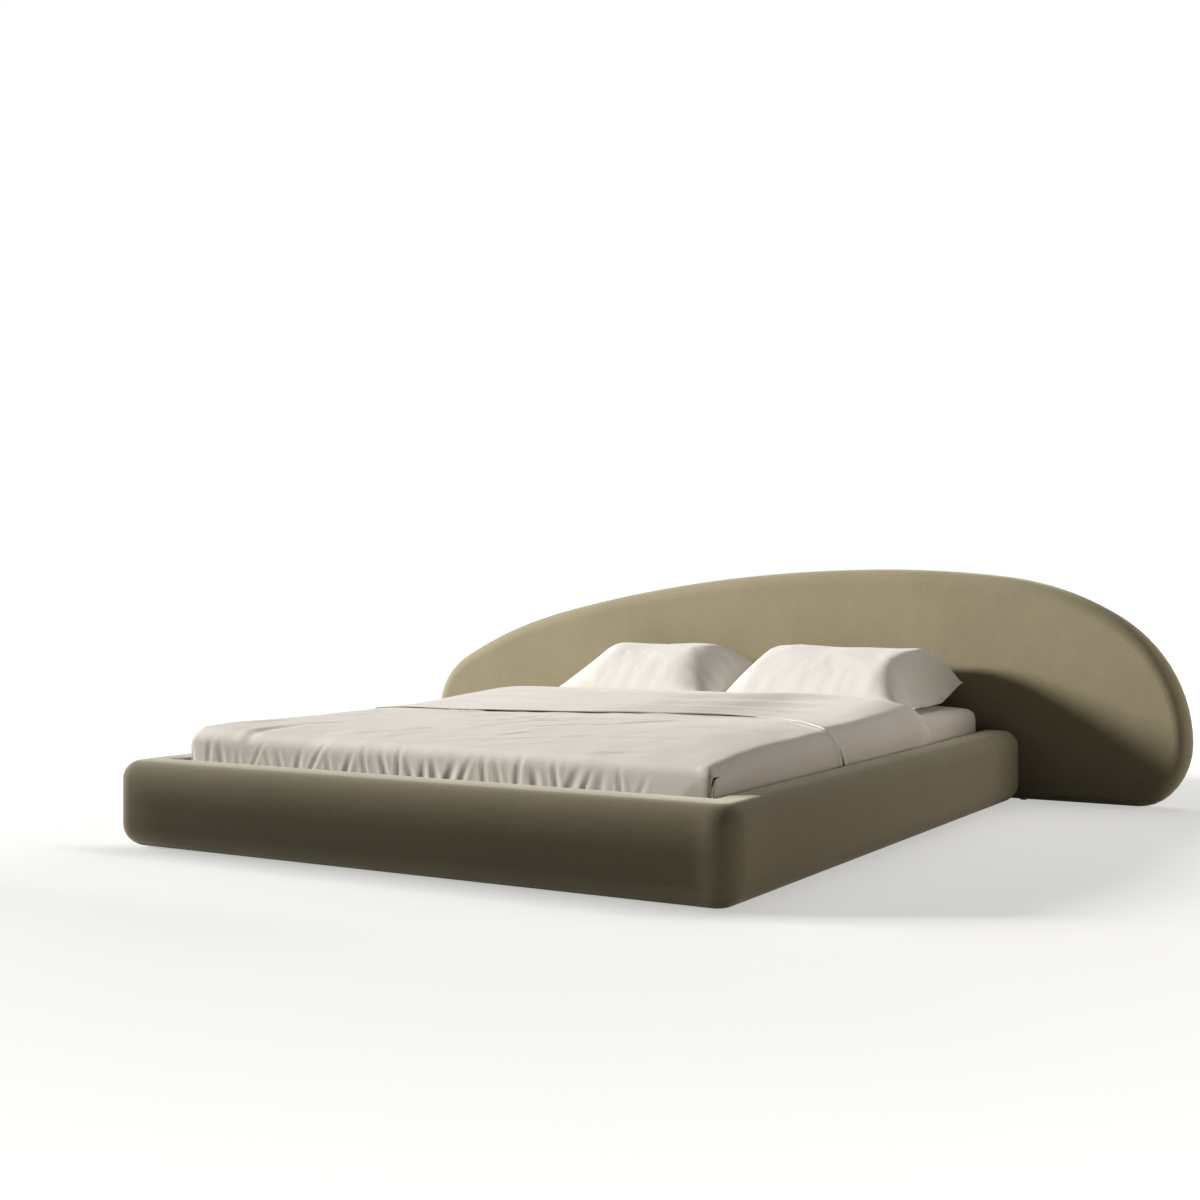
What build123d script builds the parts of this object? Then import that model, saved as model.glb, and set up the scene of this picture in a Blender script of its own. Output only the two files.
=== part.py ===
"""Low padded bed: a wide pebble headboard, padded rails, a drop-in slatted base and its bedding.

Millimetres, +Z up. The origin is on the floor under the middle of the whole bed, -Y is the foot,
+Y the headboard. Each physical piece is written to parts/ under its own name.
"""
import os
from math import atan, cos, degrees, radians, sin

from build123d import *

# Mattress: the standard size that the bed is built round
mattress_width = 1600
mattress_length = 2000
mattress_height = 202
mattress_side_drop = 17
mattress_side_run = 240
mattress_foot_drop = 30
mattress_foot_run = 450
mattress_edge_radius = 40
mattress_under_radius = 15
mattress_corner_radius = 45
mattress_quilting = 10
fitted_sheet_thickness = 1.2

# Room left round the mattress in its well
mattress_side_clearance = 20
mattress_foot_clearance = 30
mattress_head_clearance = 30
soft_clearance = 0.3

# Padded rails, measured over the cover
side_rail_thickness = 117
foot_rail_thickness = 140
rail_height = 233
rail_corner_radius = 73
rail_top_radius = 49
rail_under_radius = 62
rail_inner_radius = 25
cover_thickness = 2
cover_hem_depth = 45
# The foam is cut with flat chamfers, this share of the rounding, and the cover's wadding rounds it off
FOAM_CHAMFER_SHARE = 0.8
SEEN_EDGE_FLATS = 5
HIDDEN_EDGE_FLATS = 3

# Timber core in each rail
core_thickness = 36
core_inner_padding = 9
core_under_padding = 16
core_top_padding = 37
core_head_padding = 30
core_corner_padding = 75

# Headboard: a pebble outline of tangent arcs, flat where it stands
headboard_width = 2920
headboard_height = 767
headboard_thickness = 120
headboard_edge_radius = 50
headboard_peak_offset = 430
headboard_widest_height = 207
headboard_toe_width = 165
# Each shoulder is three arcs: the slopes where they join, as shares of its reach over its rise, and
# the middle arc's radius as a share of its reach
RIGHT_SHOULDER_SHARES = (0.8838, 4.699, 0.9087)
LEFT_SHOULDER_SHARES = (0.5071, 1.171, 0.8704)
TOE_TURN = 45
headboard_front_padding = 35
headboard_back_padding = 18
headboard_edge_padding = 60
front_board_thickness = 12
back_board_thickness = 9
rim_thickness = 18
stud_width = 60
outer_stud_end_distance = 296
sole_height = 34
sole_end_margin = 45
back_cover_margin = 70

# Glides under the padding
glide_radius = 12
GLIDE_SIDES = 8
glide_height = 4
glide_end_distance = 220
headboard_glide_end_distance = 330
rail_glide_count = 3
headboard_glide_count = 4

# Bearers that carry the slatted base
bearer_width = 30
bearer_height = 45
bearer_top = 70
head_cross_rail_thickness = 24

# Steel fittings
plate_thickness = 4
plate_height = 100
plate_bottom = 85
hanging_plate_length = 120
hanging_plate_flange = 50
corner_angle_leg = 80
bolt_radius = 4
bolt_head_width = 13
bolt_head_height = 5.5
bolt_hole_clearance = 0.3
bolt_edge_distance = 22
bolt_grip = 30
BOLT_SIDES = 6

# Slatted base
frame_clearance = 6
tube_height = 30
tube_width = 30
tube_wall = 2
slat_width = 68
slat_thickness = 8
slat_bow = 8
slat_count = 14
slat_end_distance = 78
holder_wall = 3
holder_play = 3
holder_overhang = 15
holder_side_wall = 3
holder_stop = 8
leg_width = 35
leg_wall = 2
leg_foot_width = 46
leg_foot_height = 8
leg_foot_chamfer = 3
leg_count = 3
leg_end_distance = 400

# Duvet and the sheet turned down over it
duvet_side_thickness = 8.5
duvet_top_thickness = 13
duvet_tuck_height = 20
turned_sheet_length = 690
turned_sheet_thickness = 8
turned_sheet_side_thickness = 5
turned_sheet_lap = 532
turned_sheet_skew = 95
turned_sheet_pillow_gap = 10

# Pillows
pillow_width = 706
pillow_depth = 520
pillow_height = 172
pillow_gap = 6
pillow_pair_offset = 35
pillow_headboard_clearance = 12
pillow_seam_height = 16
pillow_end_run = 190
PILLOW_END_SHARES = (1 / 3, 2 / 3)
pillow_crest_distance = 170
pillow_front_fall = 26
pillow_draw_in = 12

# Where the sub-parts stand, worked out from the sizes above
well_half_width = mattress_width / 2 + mattress_side_clearance
base_width = 2 * (well_half_width + side_rail_thickness)
base_length = foot_rail_thickness + mattress_foot_clearance + mattress_length + mattress_head_clearance
foot_y = -(base_length + headboard_thickness) / 2
head_y = foot_y + base_length
well_foot_y = foot_y + foot_rail_thickness
rail_top = glide_height + rail_height
core_face_x = well_half_width + core_inner_padding
core_face_y = well_foot_y - core_inner_padding
core_bottom = glide_height + core_under_padding
core_top = rail_top - core_top_padding
core_head_y = head_y - core_head_padding
hem_z = rail_top - cover_hem_depth

overrun = mattress_side_clearance


def block(x_range, y_range, z_range):
    """A box between two places along each axis."""
    size = [high - low for low, high in (x_range, y_range, z_range)]
    middle = [(high + low) / 2 for low, high in (x_range, y_range, z_range)]
    return Pos(*middle) * Box(*size)


def mirrored(piece):
    """The same piece on the other side of the bed's middle."""
    return mirror(piece, about=Plane.YZ)


def slab(face, near, far):
    """A face drawn in the XZ plane, made solid from one distance along Y to another."""
    return Pos(0, near, 0) * extrude(face, amount=far - near, dir=(0, 1, 0))


def softened(edges, radius, inset):
    """Edges rounded on the cover's outer face, and cut in one flat on the foam that lies inside it."""
    if inset == 0:
        return fillet(edges, radius)
    return chamfer(edges, FOAM_CHAMFER_SHARE * (radius - inset))


def edge_rings(radius, flats, inset):
    """How far a form is drawn in, and how deep, at each corner of the flats that follow its rounded edge.

    On the foam the edge is cut in one flat that stays clear of the cover.
    """
    if inset > 0:
        cut = FOAM_CHAMFER_SHARE * (radius - inset)
        return [(cut, 0), (0, cut)]
    half_turn = radians(90 / (flats + 1)) / 2
    reach = radius / cos(half_turn)
    angles = [(2 * i + 1) * half_turn for i in range(flats + 1)]
    return [(radius - reach * sin(angle), radius - reach * cos(angle)) for angle in angles]


def padded_body(outline, low, high, low_rings, high_rings):
    """A body between two parallel planes whose edges are softened in flats towards both."""
    places = [(drawn_in, low + depth) for drawn_in, depth in low_rings]
    places += [(drawn_in, high - depth) for drawn_in, depth in reversed(high_rings)]
    return loft([outline(drawn_in, place) for drawn_in, place in places], ruled=True)


# Headboard

def end_radii(reach, rise, turns, middle_radius):
    """First and last radius of three tangent arcs that climb from an upright end to a level top.

    The arcs turn by the two given angles and then level out, and the middle radius is chosen.
    """
    c1, s1 = cos(radians(turns[0])), sin(radians(turns[0]))
    c2, s2 = cos(radians(turns[1])), sin(radians(turns[1]))
    across = reach - middle_radius * (c1 - c2)
    up = rise - middle_radius * (s2 - s1)
    spread = (1 - c1) * (1 - s2) - c2 * s1
    first = (across * (1 - s2) - c2 * up) / spread
    last = ((1 - c1) * up - s1 * across) / spread
    return first, last


def toe_radii(reach, fall):
    """The two radii of the tangent arcs that run under from the upright end to the flat sole."""
    c, s = cos(radians(TOE_TURN)), sin(radians(TOE_TURN))
    spread = (1 - c) * (1 - s) - c * s
    upper = (reach * (1 - s) - c * fall) / spread
    lower = ((1 - c) * fall - s * reach) / spread
    return upper, lower


def arc_chain(centre, first_angle, steps, inset, side):
    """Tangent arcs on one side of the outline, each given by its radius and the angle it ends at."""
    arcs = []
    x, z = centre
    angle = first_angle
    previous = None
    for radius, end_angle in steps:
        if previous is not None:
            x += side * (previous - radius) * cos(radians(angle))
            z += (previous - radius) * sin(radians(angle))
        start = angle if side > 0 else 180 - angle
        sweep = side * (end_angle - angle)
        arcs.append(CenterArc((x, z), radius - inset, start, sweep))
        angle = end_angle
        previous = radius
    return arcs


def headboard_outline(inset):
    """The pebble outline as a face in the XZ plane, drawn in by the same distance all round."""
    widest_z = glide_height + headboard_widest_height
    rise = headboard_height - headboard_widest_height
    arcs = []
    for side, shares in ((1, RIGHT_SHOULDER_SHARES), (-1, LEFT_SHOULDER_SHARES)):
        end_x = side * headboard_width / 2
        reach = abs(end_x - headboard_peak_offset)
        turns = [degrees(atan(share * reach / rise)) for share in shares[:2]]
        middle = shares[2] * reach
        first, last = end_radii(reach, rise, turns, middle)
        upper, lower = toe_radii(headboard_toe_width, headboard_widest_height)
        climb = [(first, turns[0]), (middle, turns[1]), (last, 90)]
        toe = [(upper, -TOE_TURN), (lower, -90)]
        arcs += arc_chain((end_x - side * first, widest_z), 0, climb, inset, side)
        arcs += arc_chain((end_x - side * upper, widest_z), 0, toe, inset, side)
    sole_x = headboard_width / 2 - headboard_toe_width
    arcs.append(Line((-sole_x, glide_height + inset), (sole_x, glide_height + inset)))
    return Plane.XZ * make_face(arcs)


def headboard_form(inset):
    """The headboard's padded form, softened all round its front and back edges."""
    return padded_body(
        lambda drawn_in, y: Pos(0, y, 0) * headboard_outline(inset + drawn_in),
        head_y + inset,
        head_y + headboard_thickness - inset,
        edge_rings(headboard_edge_radius, SEEN_EDGE_FLATS, inset),
        edge_rings(headboard_edge_radius, HIDDEN_EDGE_FLATS, inset),
    )


def make_headboard():
    """Front and back boards on a bent rim with studs, in foam under a pulled-over cover."""
    board_y = head_y + headboard_front_padding
    frame_y = board_y + front_board_thickness
    back_y = head_y + headboard_thickness - headboard_back_padding
    rear_y = back_y - back_board_thickness

    board_face = headboard_outline(headboard_edge_padding)
    inner_face = headboard_outline(headboard_edge_padding + rim_thickness)
    board_bottom = glide_height + headboard_edge_padding
    front_board = slab(board_face, board_y, frame_y)
    back_board = slab(board_face, rear_y, back_y)
    rim = slab(board_face - inner_face, frame_y, rear_y)
    sole_end = headboard_width / 2 - headboard_toe_width - sole_end_margin
    sole_rail = block((-sole_end, sole_end), (board_y, back_y), (board_bottom - sole_height, board_bottom))

    pieces = {}
    inner_space = slab(inner_face, frame_y, rear_y)
    plate_x = core_face_x - hanging_plate_flange / 2
    outer_x = headboard_width / 2 - outer_stud_end_distance
    stud_places = [-outer_x, -plate_x, 0, plate_x, outer_x]
    for number, x in enumerate(stud_places, 1):
        column = block((x - stud_width / 2, x + stud_width / 2), (frame_y, rear_y), (0, headboard_height))
        pieces[f"headboard_stud_{number}"] = column & inner_space

    form = headboard_form(0)
    padding = headboard_form(cover_thickness)
    all_x = (-headboard_width, headboard_width)
    all_z = (0, 2 * headboard_height)
    carcass = slab(board_face, board_y, back_y) + sole_rail
    front_half = block(all_x, (head_y - overrun, board_y), all_z)
    pieces["headboard_front_foam"] = padding & front_half
    pieces["headboard_edge_foam"] = padding - front_half - carcass
    panel_face = headboard_outline(back_cover_margin)
    panel_y = head_y + headboard_thickness
    back_panel = slab(panel_face, panel_y - cover_thickness, panel_y)
    pieces["headboard_cover"] = form - padding - back_panel
    pieces["headboard_back_cover"] = back_panel
    pieces["headboard_front_board"] = front_board
    pieces["headboard_back_board"] = back_board
    pieces["headboard_rim"] = rim
    pieces["headboard_sole_rail"] = sole_rail
    end_glide = sole_end - headboard_glide_end_distance
    step = 2 * end_glide / (headboard_glide_count - 1)
    places = [-end_glide + step * i for i in range(headboard_glide_count)]
    pieces["headboard_glides"] = glides([(x, head_y + headboard_thickness / 2) for x in places])
    return pieces


def glides(places):
    """Round plastic discs nailed under the padding, one at each place on the floor."""
    disc = extrude(RegularPolygon(glide_radius, GLIDE_SIDES), amount=glide_height)
    return Compound([Pos(x, y, 0) * disc for x, y in places])


# Padded rails

def rail_outline(inset):
    """The base's plan as a face with rounded corners, drawn in by the same distance all round."""
    reach_x, reach_y = base_width / 2 - rail_corner_radius, base_length / 2 - rail_corner_radius
    corners = [(reach_x, reach_y), (-reach_x, reach_y), (-reach_x, -reach_y), (reach_x, -reach_y)]
    radius = rail_corner_radius - inset
    arcs = [CenterArc(corner, radius, 90 * i, 90) for i, corner in enumerate(corners)]
    sides = [Line(arcs[i - 1] @ 1, arcs[i] @ 0) for i in range(len(arcs))]
    return make_face(arcs + sides)


def rail_form(inset):
    """The padded U of the two side rails and the foot rail, drawn in by the same distance all round."""
    bottom = glide_height + inset
    top = rail_top - inset
    outer = padded_body(
        lambda drawn_in, z: Pos(0, (foot_y + head_y) / 2, z) * rail_outline(inset + drawn_in),
        bottom,
        top,
        edge_rings(rail_under_radius, HIDDEN_EDGE_FLATS, inset),
        edge_rings(rail_top_radius, SEEN_EDGE_FLATS, inset),
    )
    wall_x = well_half_width + inset
    wall_y = well_foot_y - inset
    well = block((-wall_x, wall_x), (wall_y, head_y + overrun), (0, rail_top + overrun))
    form = outer - well
    touch = soft_clearance / 2

    def rounded(edge):
        """Whether the edge is the well's rim: its top edges, and the side rails' head ends."""
        spot = edge.center()
        if abs(spot.Y - wall_y) < touch:
            return spot.Z > top - touch
        return abs(abs(spot.X) - wall_x) < touch and spot.Z > bottom + touch

    return softened([edge for edge in form.edges() if rounded(edge)], rail_inner_radius, inset)


def make_rails():
    """Foot rail and side rails: a timber core in shaped foam under a cover that hems inside the well."""
    all_x = (-base_width, base_width)
    all_z = (0, rail_top + overrun)
    foot_core = block(
        (-(base_width / 2 - core_corner_padding), base_width / 2 - core_corner_padding),
        (core_face_y - core_thickness, core_face_y),
        (core_bottom, core_top),
    )
    side_start = well_foot_y + cover_thickness
    right_core = block(
        (core_face_x, core_face_x + core_thickness), (side_start, core_head_y), (core_bottom, core_top)
    )
    inner_relief = block((-core_face_x, core_face_x), (core_face_y, head_y + overrun), (0, hem_z))
    cover_form = rail_form(0)
    foam_form = rail_form(cover_thickness)

    def split(form, inset):
        foot = form & block(all_x, (foot_y - overrun, well_foot_y - inset), all_z)
        right = form & block((0, base_width), (well_foot_y + inset, head_y + overrun), all_z)
        return foot, right

    foot_outer, right_outer = split(cover_form, 0)
    foot_inner, right_inner = split(foam_form, cover_thickness)
    pieces = {
        "foot_rail_core": foot_core,
        "foot_rail_foam": foot_inner - foot_core - inner_relief,
        "foot_rail_cover": foot_outer - foot_inner - foot_core - inner_relief,
        "side_rail_right_core": right_core,
        "side_rail_right_foam": right_inner - right_core - inner_relief,
        "side_rail_right_cover": right_outer - right_inner - right_core - inner_relief,
    }
    for layer in ("core", "foam", "cover"):
        pieces[f"side_rail_left_{layer}"] = mirrored(pieces[f"side_rail_right_{layer}"])

    side_x = core_face_x + core_thickness / 2
    foot_glide_y = core_face_y - core_thickness / 2
    run = base_length - 2 * glide_end_distance
    side_step = run / (rail_glide_count - 1)
    foot_step = (base_width - 2 * glide_end_distance) / (rail_glide_count - 1)
    places = []
    for i in range(rail_glide_count):
        y = foot_y + glide_end_distance + side_step * i
        places += [(side_x, y), (-side_x, y)]
        places.append((-base_width / 2 + glide_end_distance + foot_step * i, foot_glide_y))
    pieces["rail_glides"] = glides(places)
    return pieces


def make_bearers():
    """Timber bearers on the cores' inner faces, and the cross rail that ties the head end."""
    bearer_z = (bearer_top - bearer_height, bearer_top)
    cross_front = core_head_y - head_cross_rail_thickness
    foot_end = core_face_y + bearer_width
    right = block((core_face_x - bearer_width, core_face_x), (foot_end, cross_front), bearer_z)
    return {
        "bearer_right": right,
        "bearer_left": mirrored(right),
        "bearer_foot": block((-core_face_x, core_face_x), (core_face_y, foot_end), bearer_z),
        "head_cross_rail": block((-core_face_x, core_face_x), (cross_front, core_head_y), bearer_z),
    }


# Steel fittings

def hex_bolt(grip, clearance=0):
    """A hexagon bolt that points along +Y with its head's underside at y = 0; with a clearance, its hole."""
    section = Plane.XZ * RegularPolygon(bolt_radius + clearance, BOLT_SIDES)
    shank = extrude(section, amount=grip + clearance, dir=(0, 1, 0))
    if clearance:
        return shank
    head_face = Plane.XZ * RegularPolygon(bolt_head_width / 2, 6, major_radius=False)
    return shank + extrude(head_face, amount=bolt_head_height, dir=(0, -1, 0))


def bolt_group(places, turn, grip, clearance=0):
    """Bolts or their holes at several places, all turned the same way about Z."""
    return [Pos(*place) * Rot(0, 0, turn) * hex_bolt(grip, clearance) for place in places]


def fit_hardware(pieces):
    """Hanging plates at the headboard, corner angles at the foot, and the bolts with their holes."""
    plate_z = (plate_bottom, plate_bottom + plate_height)
    heights = (plate_bottom + bolt_edge_distance, plate_bottom + plate_height - bolt_edge_distance)
    face = core_face_x - plate_thickness

    leg = block((face, core_face_x), (head_y - hanging_plate_length, head_y), plate_z)
    flange_x = (core_face_x - hanging_plate_flange, core_face_x)
    flange = block(flange_x, (head_y - plate_thickness, head_y), plate_z)
    hanging_plate = leg + flange
    side_leg = block((face, core_face_x), (core_face_y, core_face_y + corner_angle_leg), plate_z)
    foot_leg_x = (core_face_x - corner_angle_leg, core_face_x)
    foot_leg = block(foot_leg_x, (core_face_y, core_face_y + plate_thickness), plate_z)
    corner_angle = side_leg + foot_leg

    flange_mid = core_face_x - hanging_plate_flange / 2
    hanging_y = head_y - hanging_plate_length + bolt_edge_distance
    corner_y = core_face_y + corner_angle_leg - bolt_edge_distance
    corner_x = core_face_x - corner_angle_leg + bolt_edge_distance
    head_grip = plate_thickness + headboard_front_padding + front_board_thickness + bolt_grip
    core_grip = plate_thickness + bolt_grip
    head_places = [(flange_mid, head_y - plate_thickness, z) for z in heights]
    side_places = [(face, hanging_y, z) for z in heights] + [(face, corner_y, z) for z in heights]
    foot_places = [(corner_x, core_face_y + plate_thickness, z) for z in heights]

    def both(solids):
        return solids + [mirrored(solid) for solid in solids]

    head_holes = both(bolt_group(head_places, 0, head_grip, bolt_hole_clearance))
    side_holes = both(bolt_group(side_places, -90, core_grip, bolt_hole_clearance))
    foot_holes = both(bolt_group(foot_places, 180, core_grip, bolt_hole_clearance))
    pieces["headboard_bolts"] = Compound(both(bolt_group(head_places, 0, head_grip)))
    rail_bolts = bolt_group(side_places, -90, core_grip) + bolt_group(foot_places, 180, core_grip)
    pieces["rail_bolts"] = Compound(both(rail_bolts))
    pieces["hanging_plate_right"] = hanging_plate
    pieces["hanging_plate_left"] = mirrored(hanging_plate)
    pieces["corner_angle_right"] = corner_angle
    pieces["corner_angle_left"] = mirrored(corner_angle)

    plates = ["hanging_plate_right", "hanging_plate_left"]
    angles = ["corner_angle_right", "corner_angle_left"]
    headboard_layers = ["headboard_cover", "headboard_front_foam", "headboard_front_board"]
    studs = ["headboard_stud_2", "headboard_stud_4"]
    for name in plates + headboard_layers + studs:
        pieces[name] = pieces[name] - head_holes
    for name in plates + angles + ["side_rail_right_core", "side_rail_left_core"]:
        pieces[name] = pieces[name] - side_holes
    for name in angles + ["foot_rail_core"]:
        pieces[name] = pieces[name] - foot_holes


# Slatted base

def bowed_slat(left, right, bottom):
    """A sprung slat between two ends, an arc seen from the foot, centred on y = 0."""
    middle = (left + right) / 2
    lower_arc = ThreePointArc((left, bottom), (middle, bottom + slat_bow), (right, bottom))
    top = bottom + slat_thickness
    upper_arc = ThreePointArc((left, top), (middle, top + slat_bow), (right, top))
    ends = [Line((left, bottom), (left, top)), Line((right, bottom), (right, top))]
    return slab(Plane.XZ * make_face([lower_arc, upper_arc] + ends), -slat_width / 2, slat_width / 2)


def slat_holder(closed_x, open_x, bottom):
    """A plastic cap on a tube, closed behind the slat's end and open towards the slat."""
    side = 1 if open_x > closed_x else -1
    height = 2 * holder_wall + slat_thickness + holder_play
    half_width = slat_width / 2 + soft_clearance + holder_side_wall
    low, high = sorted((closed_x, open_x))
    body = block((low, high), (-half_width, half_width), (bottom, bottom + height))
    pocket_x = sorted((closed_x + side * (holder_stop - soft_clearance), open_x + side * overrun))
    pocket_y = (-half_width + holder_side_wall, half_width - holder_side_wall)
    pocket_z = (bottom + holder_wall, bottom + height - holder_wall)
    return body - block(pocket_x, pocket_y, pocket_z)


def hollow_tube(x_range, y_range, z_range, along):
    """A rectangular steel tube, open at its ends, that runs along X or Y."""
    inner = [(low + tube_wall, high - tube_wall) for low, high in (x_range, y_range, z_range)]
    ranges = (x_range, y_range)
    inner[along] = (ranges[along][0] - overrun, ranges[along][1] + overrun)
    return block(x_range, y_range, z_range) - block(*inner)


def make_slatted_base():
    """A steel frame that drops on the bearers, with two rows of bowed slats and centre legs."""
    half_width = well_half_width - frame_clearance
    start = well_foot_y + frame_clearance
    end = core_head_y - head_cross_rail_thickness - frame_clearance
    tube_z = (bearer_top, bearer_top + tube_height)
    side = hollow_tube((half_width - tube_width, half_width), (start, end), tube_z, 1)
    inner_x = (-half_width + tube_width, half_width - tube_width)
    foot_end = hollow_tube(inner_x, (start, start + tube_width), tube_z, 0)
    head_end = hollow_tube(inner_x, (end - tube_width, end), tube_z, 0)
    centre = hollow_tube((-tube_width, tube_width), (start + tube_width, end - tube_width), tube_z, 1)

    holder_z = bearer_top + tube_height
    slat_bottom = holder_z + holder_wall + soft_clearance
    inner_open = tube_width + holder_overhang
    outer_open = half_width - tube_width - holder_overhang
    slat = bowed_slat(holder_stop, half_width - holder_stop, slat_bottom)
    inner_holder = slat_holder(0, inner_open, holder_z)
    centre_holder = inner_holder + mirrored(inner_holder)
    outer_holder = slat_holder(half_width, outer_open, holder_z)
    pitch = (end - start - 2 * slat_end_distance) / (slat_count - 1)
    rows = [Pos(0, start + slat_end_distance + pitch * i, 0) for i in range(slat_count)]
    right_slats = Compound([place * slat for place in rows])
    right_holders = Compound([place * outer_holder for place in rows])

    leg_face = Rectangle(leg_width, leg_width) - Rectangle(leg_width - 2 * leg_wall, leg_width - 2 * leg_wall)
    leg = extrude(leg_face, amount=bearer_top - leg_foot_height)
    foot = extrude(Rectangle(leg_foot_width, leg_foot_width), amount=leg_foot_height)
    foot = chamfer(foot.faces().sort_by(Axis.Z)[-1].edges(), leg_foot_chamfer)
    leg_step = (end - start - 2 * leg_end_distance) / (leg_count - 1)
    leg_places = [start + leg_end_distance + leg_step * i for i in range(leg_count)]
    return {
        "slat_frame_side_tube_right": side,
        "slat_frame_side_tube_left": mirrored(side),
        "slat_frame_foot_tube": foot_end,
        "slat_frame_head_tube": head_end,
        "slat_frame_centre_tube": centre,
        "slats_right": right_slats,
        "slats_left": mirrored(right_slats),
        "slat_holders_centre": Compound([place * centre_holder for place in rows]),
        "slat_holders_right": right_holders,
        "slat_holders_left": mirrored(right_holders),
        "centre_legs": Compound([Pos(0, y, leg_foot_height) * leg for y in leg_places]),
        "centre_leg_feet": Compound([Pos(0, y, 0) * foot for y in leg_places]),
    }


# Mattress and bedding

platform_z = bearer_top + tube_height + holder_wall + slat_thickness + slat_bow + 2 * soft_clearance
mattress_foot_y = well_foot_y + mattress_foot_clearance
pillow_front_y = head_y - pillow_headboard_clearance - pillow_depth


def shoulder(edge, top, run, drop, side):
    """The arc that carries a crowned top down to its edge, and the point where the crown is level."""
    radius = (run * run + drop * drop) / (2 * drop)
    level = edge - side * run
    half = run / 2
    fall = radius - (radius * radius - half * half) ** (1 / 2)
    return ThreePointArc((edge, top - drop), (edge - side * half, top - fall), (level, top)), level


def crowned_profile(low, high, bottom, top, low_shape, high_shape, radius, under_radius):
    """A closed side view: upright ends, a top that falls in an arc at each end, and rounded corners."""
    low_arc, low_level = shoulder(low, top, *low_shape, -1)
    high_arc, high_level = shoulder(high, top, *high_shape, 1)
    lines = [
        Line((low_level, top), (high_level, top)),
        Line((low, bottom), (low, top - low_shape[1])),
        Line((high, bottom), (high, top - high_shape[1])),
        Line((low, bottom), (high, bottom)),
    ]
    face = make_face([low_arc, high_arc] + lines)
    ends = face.vertices().group_by(Axis.X)
    corners = [ends[0].sort_by(Axis.Y)[-1], ends[-1].sort_by(Axis.Y)[-1]]
    face = fillet(corners, radius)
    if under_radius > 0:
        face = fillet(face.vertices().group_by(Axis.Y)[0], under_radius)
    return face


def bedding_form(side=0, foot=0, head=0, top=0, bottom=0, under_radius=0):
    """The mattress's crowned form, grown by the given distances on each of its sides."""
    half_width = mattress_width / 2 + side
    start = mattress_foot_y - foot
    end = mattress_foot_y + mattress_length + head
    low = platform_z - bottom
    high = platform_z + mattress_height + top
    side_shape = (mattress_side_run, mattress_side_drop)
    foot_shape = (mattress_foot_run, mattress_foot_drop)
    edge_radius = mattress_edge_radius + top
    radii = (edge_radius, under_radius)
    across = crowned_profile(-half_width, half_width, low, high, side_shape, side_shape, *radii)
    along = crowned_profile(start, end, low, high, foot_shape, side_shape, *radii)
    plan = Pos(0, (start + end) / 2, low) * RectangleRounded(
        2 * half_width, end - start, mattress_corner_radius + side
    )
    form = slab(Plane.XZ * across, start - overrun, end + overrun)
    form &= extrude(Plane.YZ * along, amount=half_width + overrun, both=True)
    return form & extrude(plan, amount=high - low)


def make_mattress():
    """A foam core in a quilted cover, and the fitted sheet pulled over its top and sides."""
    quilting = mattress_quilting
    core = block(
        (-mattress_width / 2 + quilting, mattress_width / 2 - quilting),
        (mattress_foot_y + quilting, mattress_foot_y + mattress_length - quilting),
        (platform_z + quilting, platform_z + mattress_height - mattress_foot_drop - 2 * quilting),
    )
    core = fillet(core.edges().filter_by(Axis.Z), mattress_corner_radius - quilting)
    cover = bedding_form(under_radius=mattress_under_radius)
    grow = fitted_sheet_thickness
    sheet = bedding_form(side=grow, foot=grow, head=grow, top=grow) - bedding_form()
    return {"mattress_core": core, "mattress_cover": cover - core, "fitted_sheet": sheet}


def make_covers():
    """The duvet, tucked in round the foot, and the sheet turned down over its head end."""
    under = fitted_sheet_thickness + soft_clearance
    side = under + duvet_side_thickness
    top = under + duvet_top_thickness
    tuck_z = platform_z + duvet_tuck_height
    sheet_space = bedding_form(side=under, foot=under, head=under, top=under)
    duvet_form = bedding_form(side=side, foot=side, top=top)
    duvet_start = mattress_foot_y - side
    sheet_end = pillow_front_y - turned_sheet_pillow_gap
    sheet_start = sheet_end - turned_sheet_length
    duvet_end = sheet_start + turned_sheet_lap
    all_x = (-base_width / 2, base_width / 2)
    keep_z = (tuck_z, platform_z + 2 * mattress_height)
    duvet = duvet_form & block(all_x, (duvet_start, duvet_end), keep_z)

    clear = soft_clearance
    duvet_space = bedding_form(side=side + clear, foot=side + clear, top=top + clear)
    over = bedding_form(
        side=side + clear + turned_sheet_side_thickness,
        foot=side,
        top=top + clear + turned_sheet_thickness,
    )
    duvet_space &= block(all_x, (duvet_start - overrun, duvet_end + clear), (0, keep_z[1]))
    left_x, right_x = all_x
    left_start = (left_x, sheet_start - turned_sheet_skew)
    plan = Polyline((left_x, sheet_end), left_start, (right_x, sheet_start), (right_x, sheet_end), close=True)
    turned = over & Pos(0, 0, tuck_z) * extrude(make_face(plan), amount=2 * mattress_height)
    return {"duvet": duvet - sheet_space, "turned_down_sheet": turned - sheet_space - duvet_space}


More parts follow.
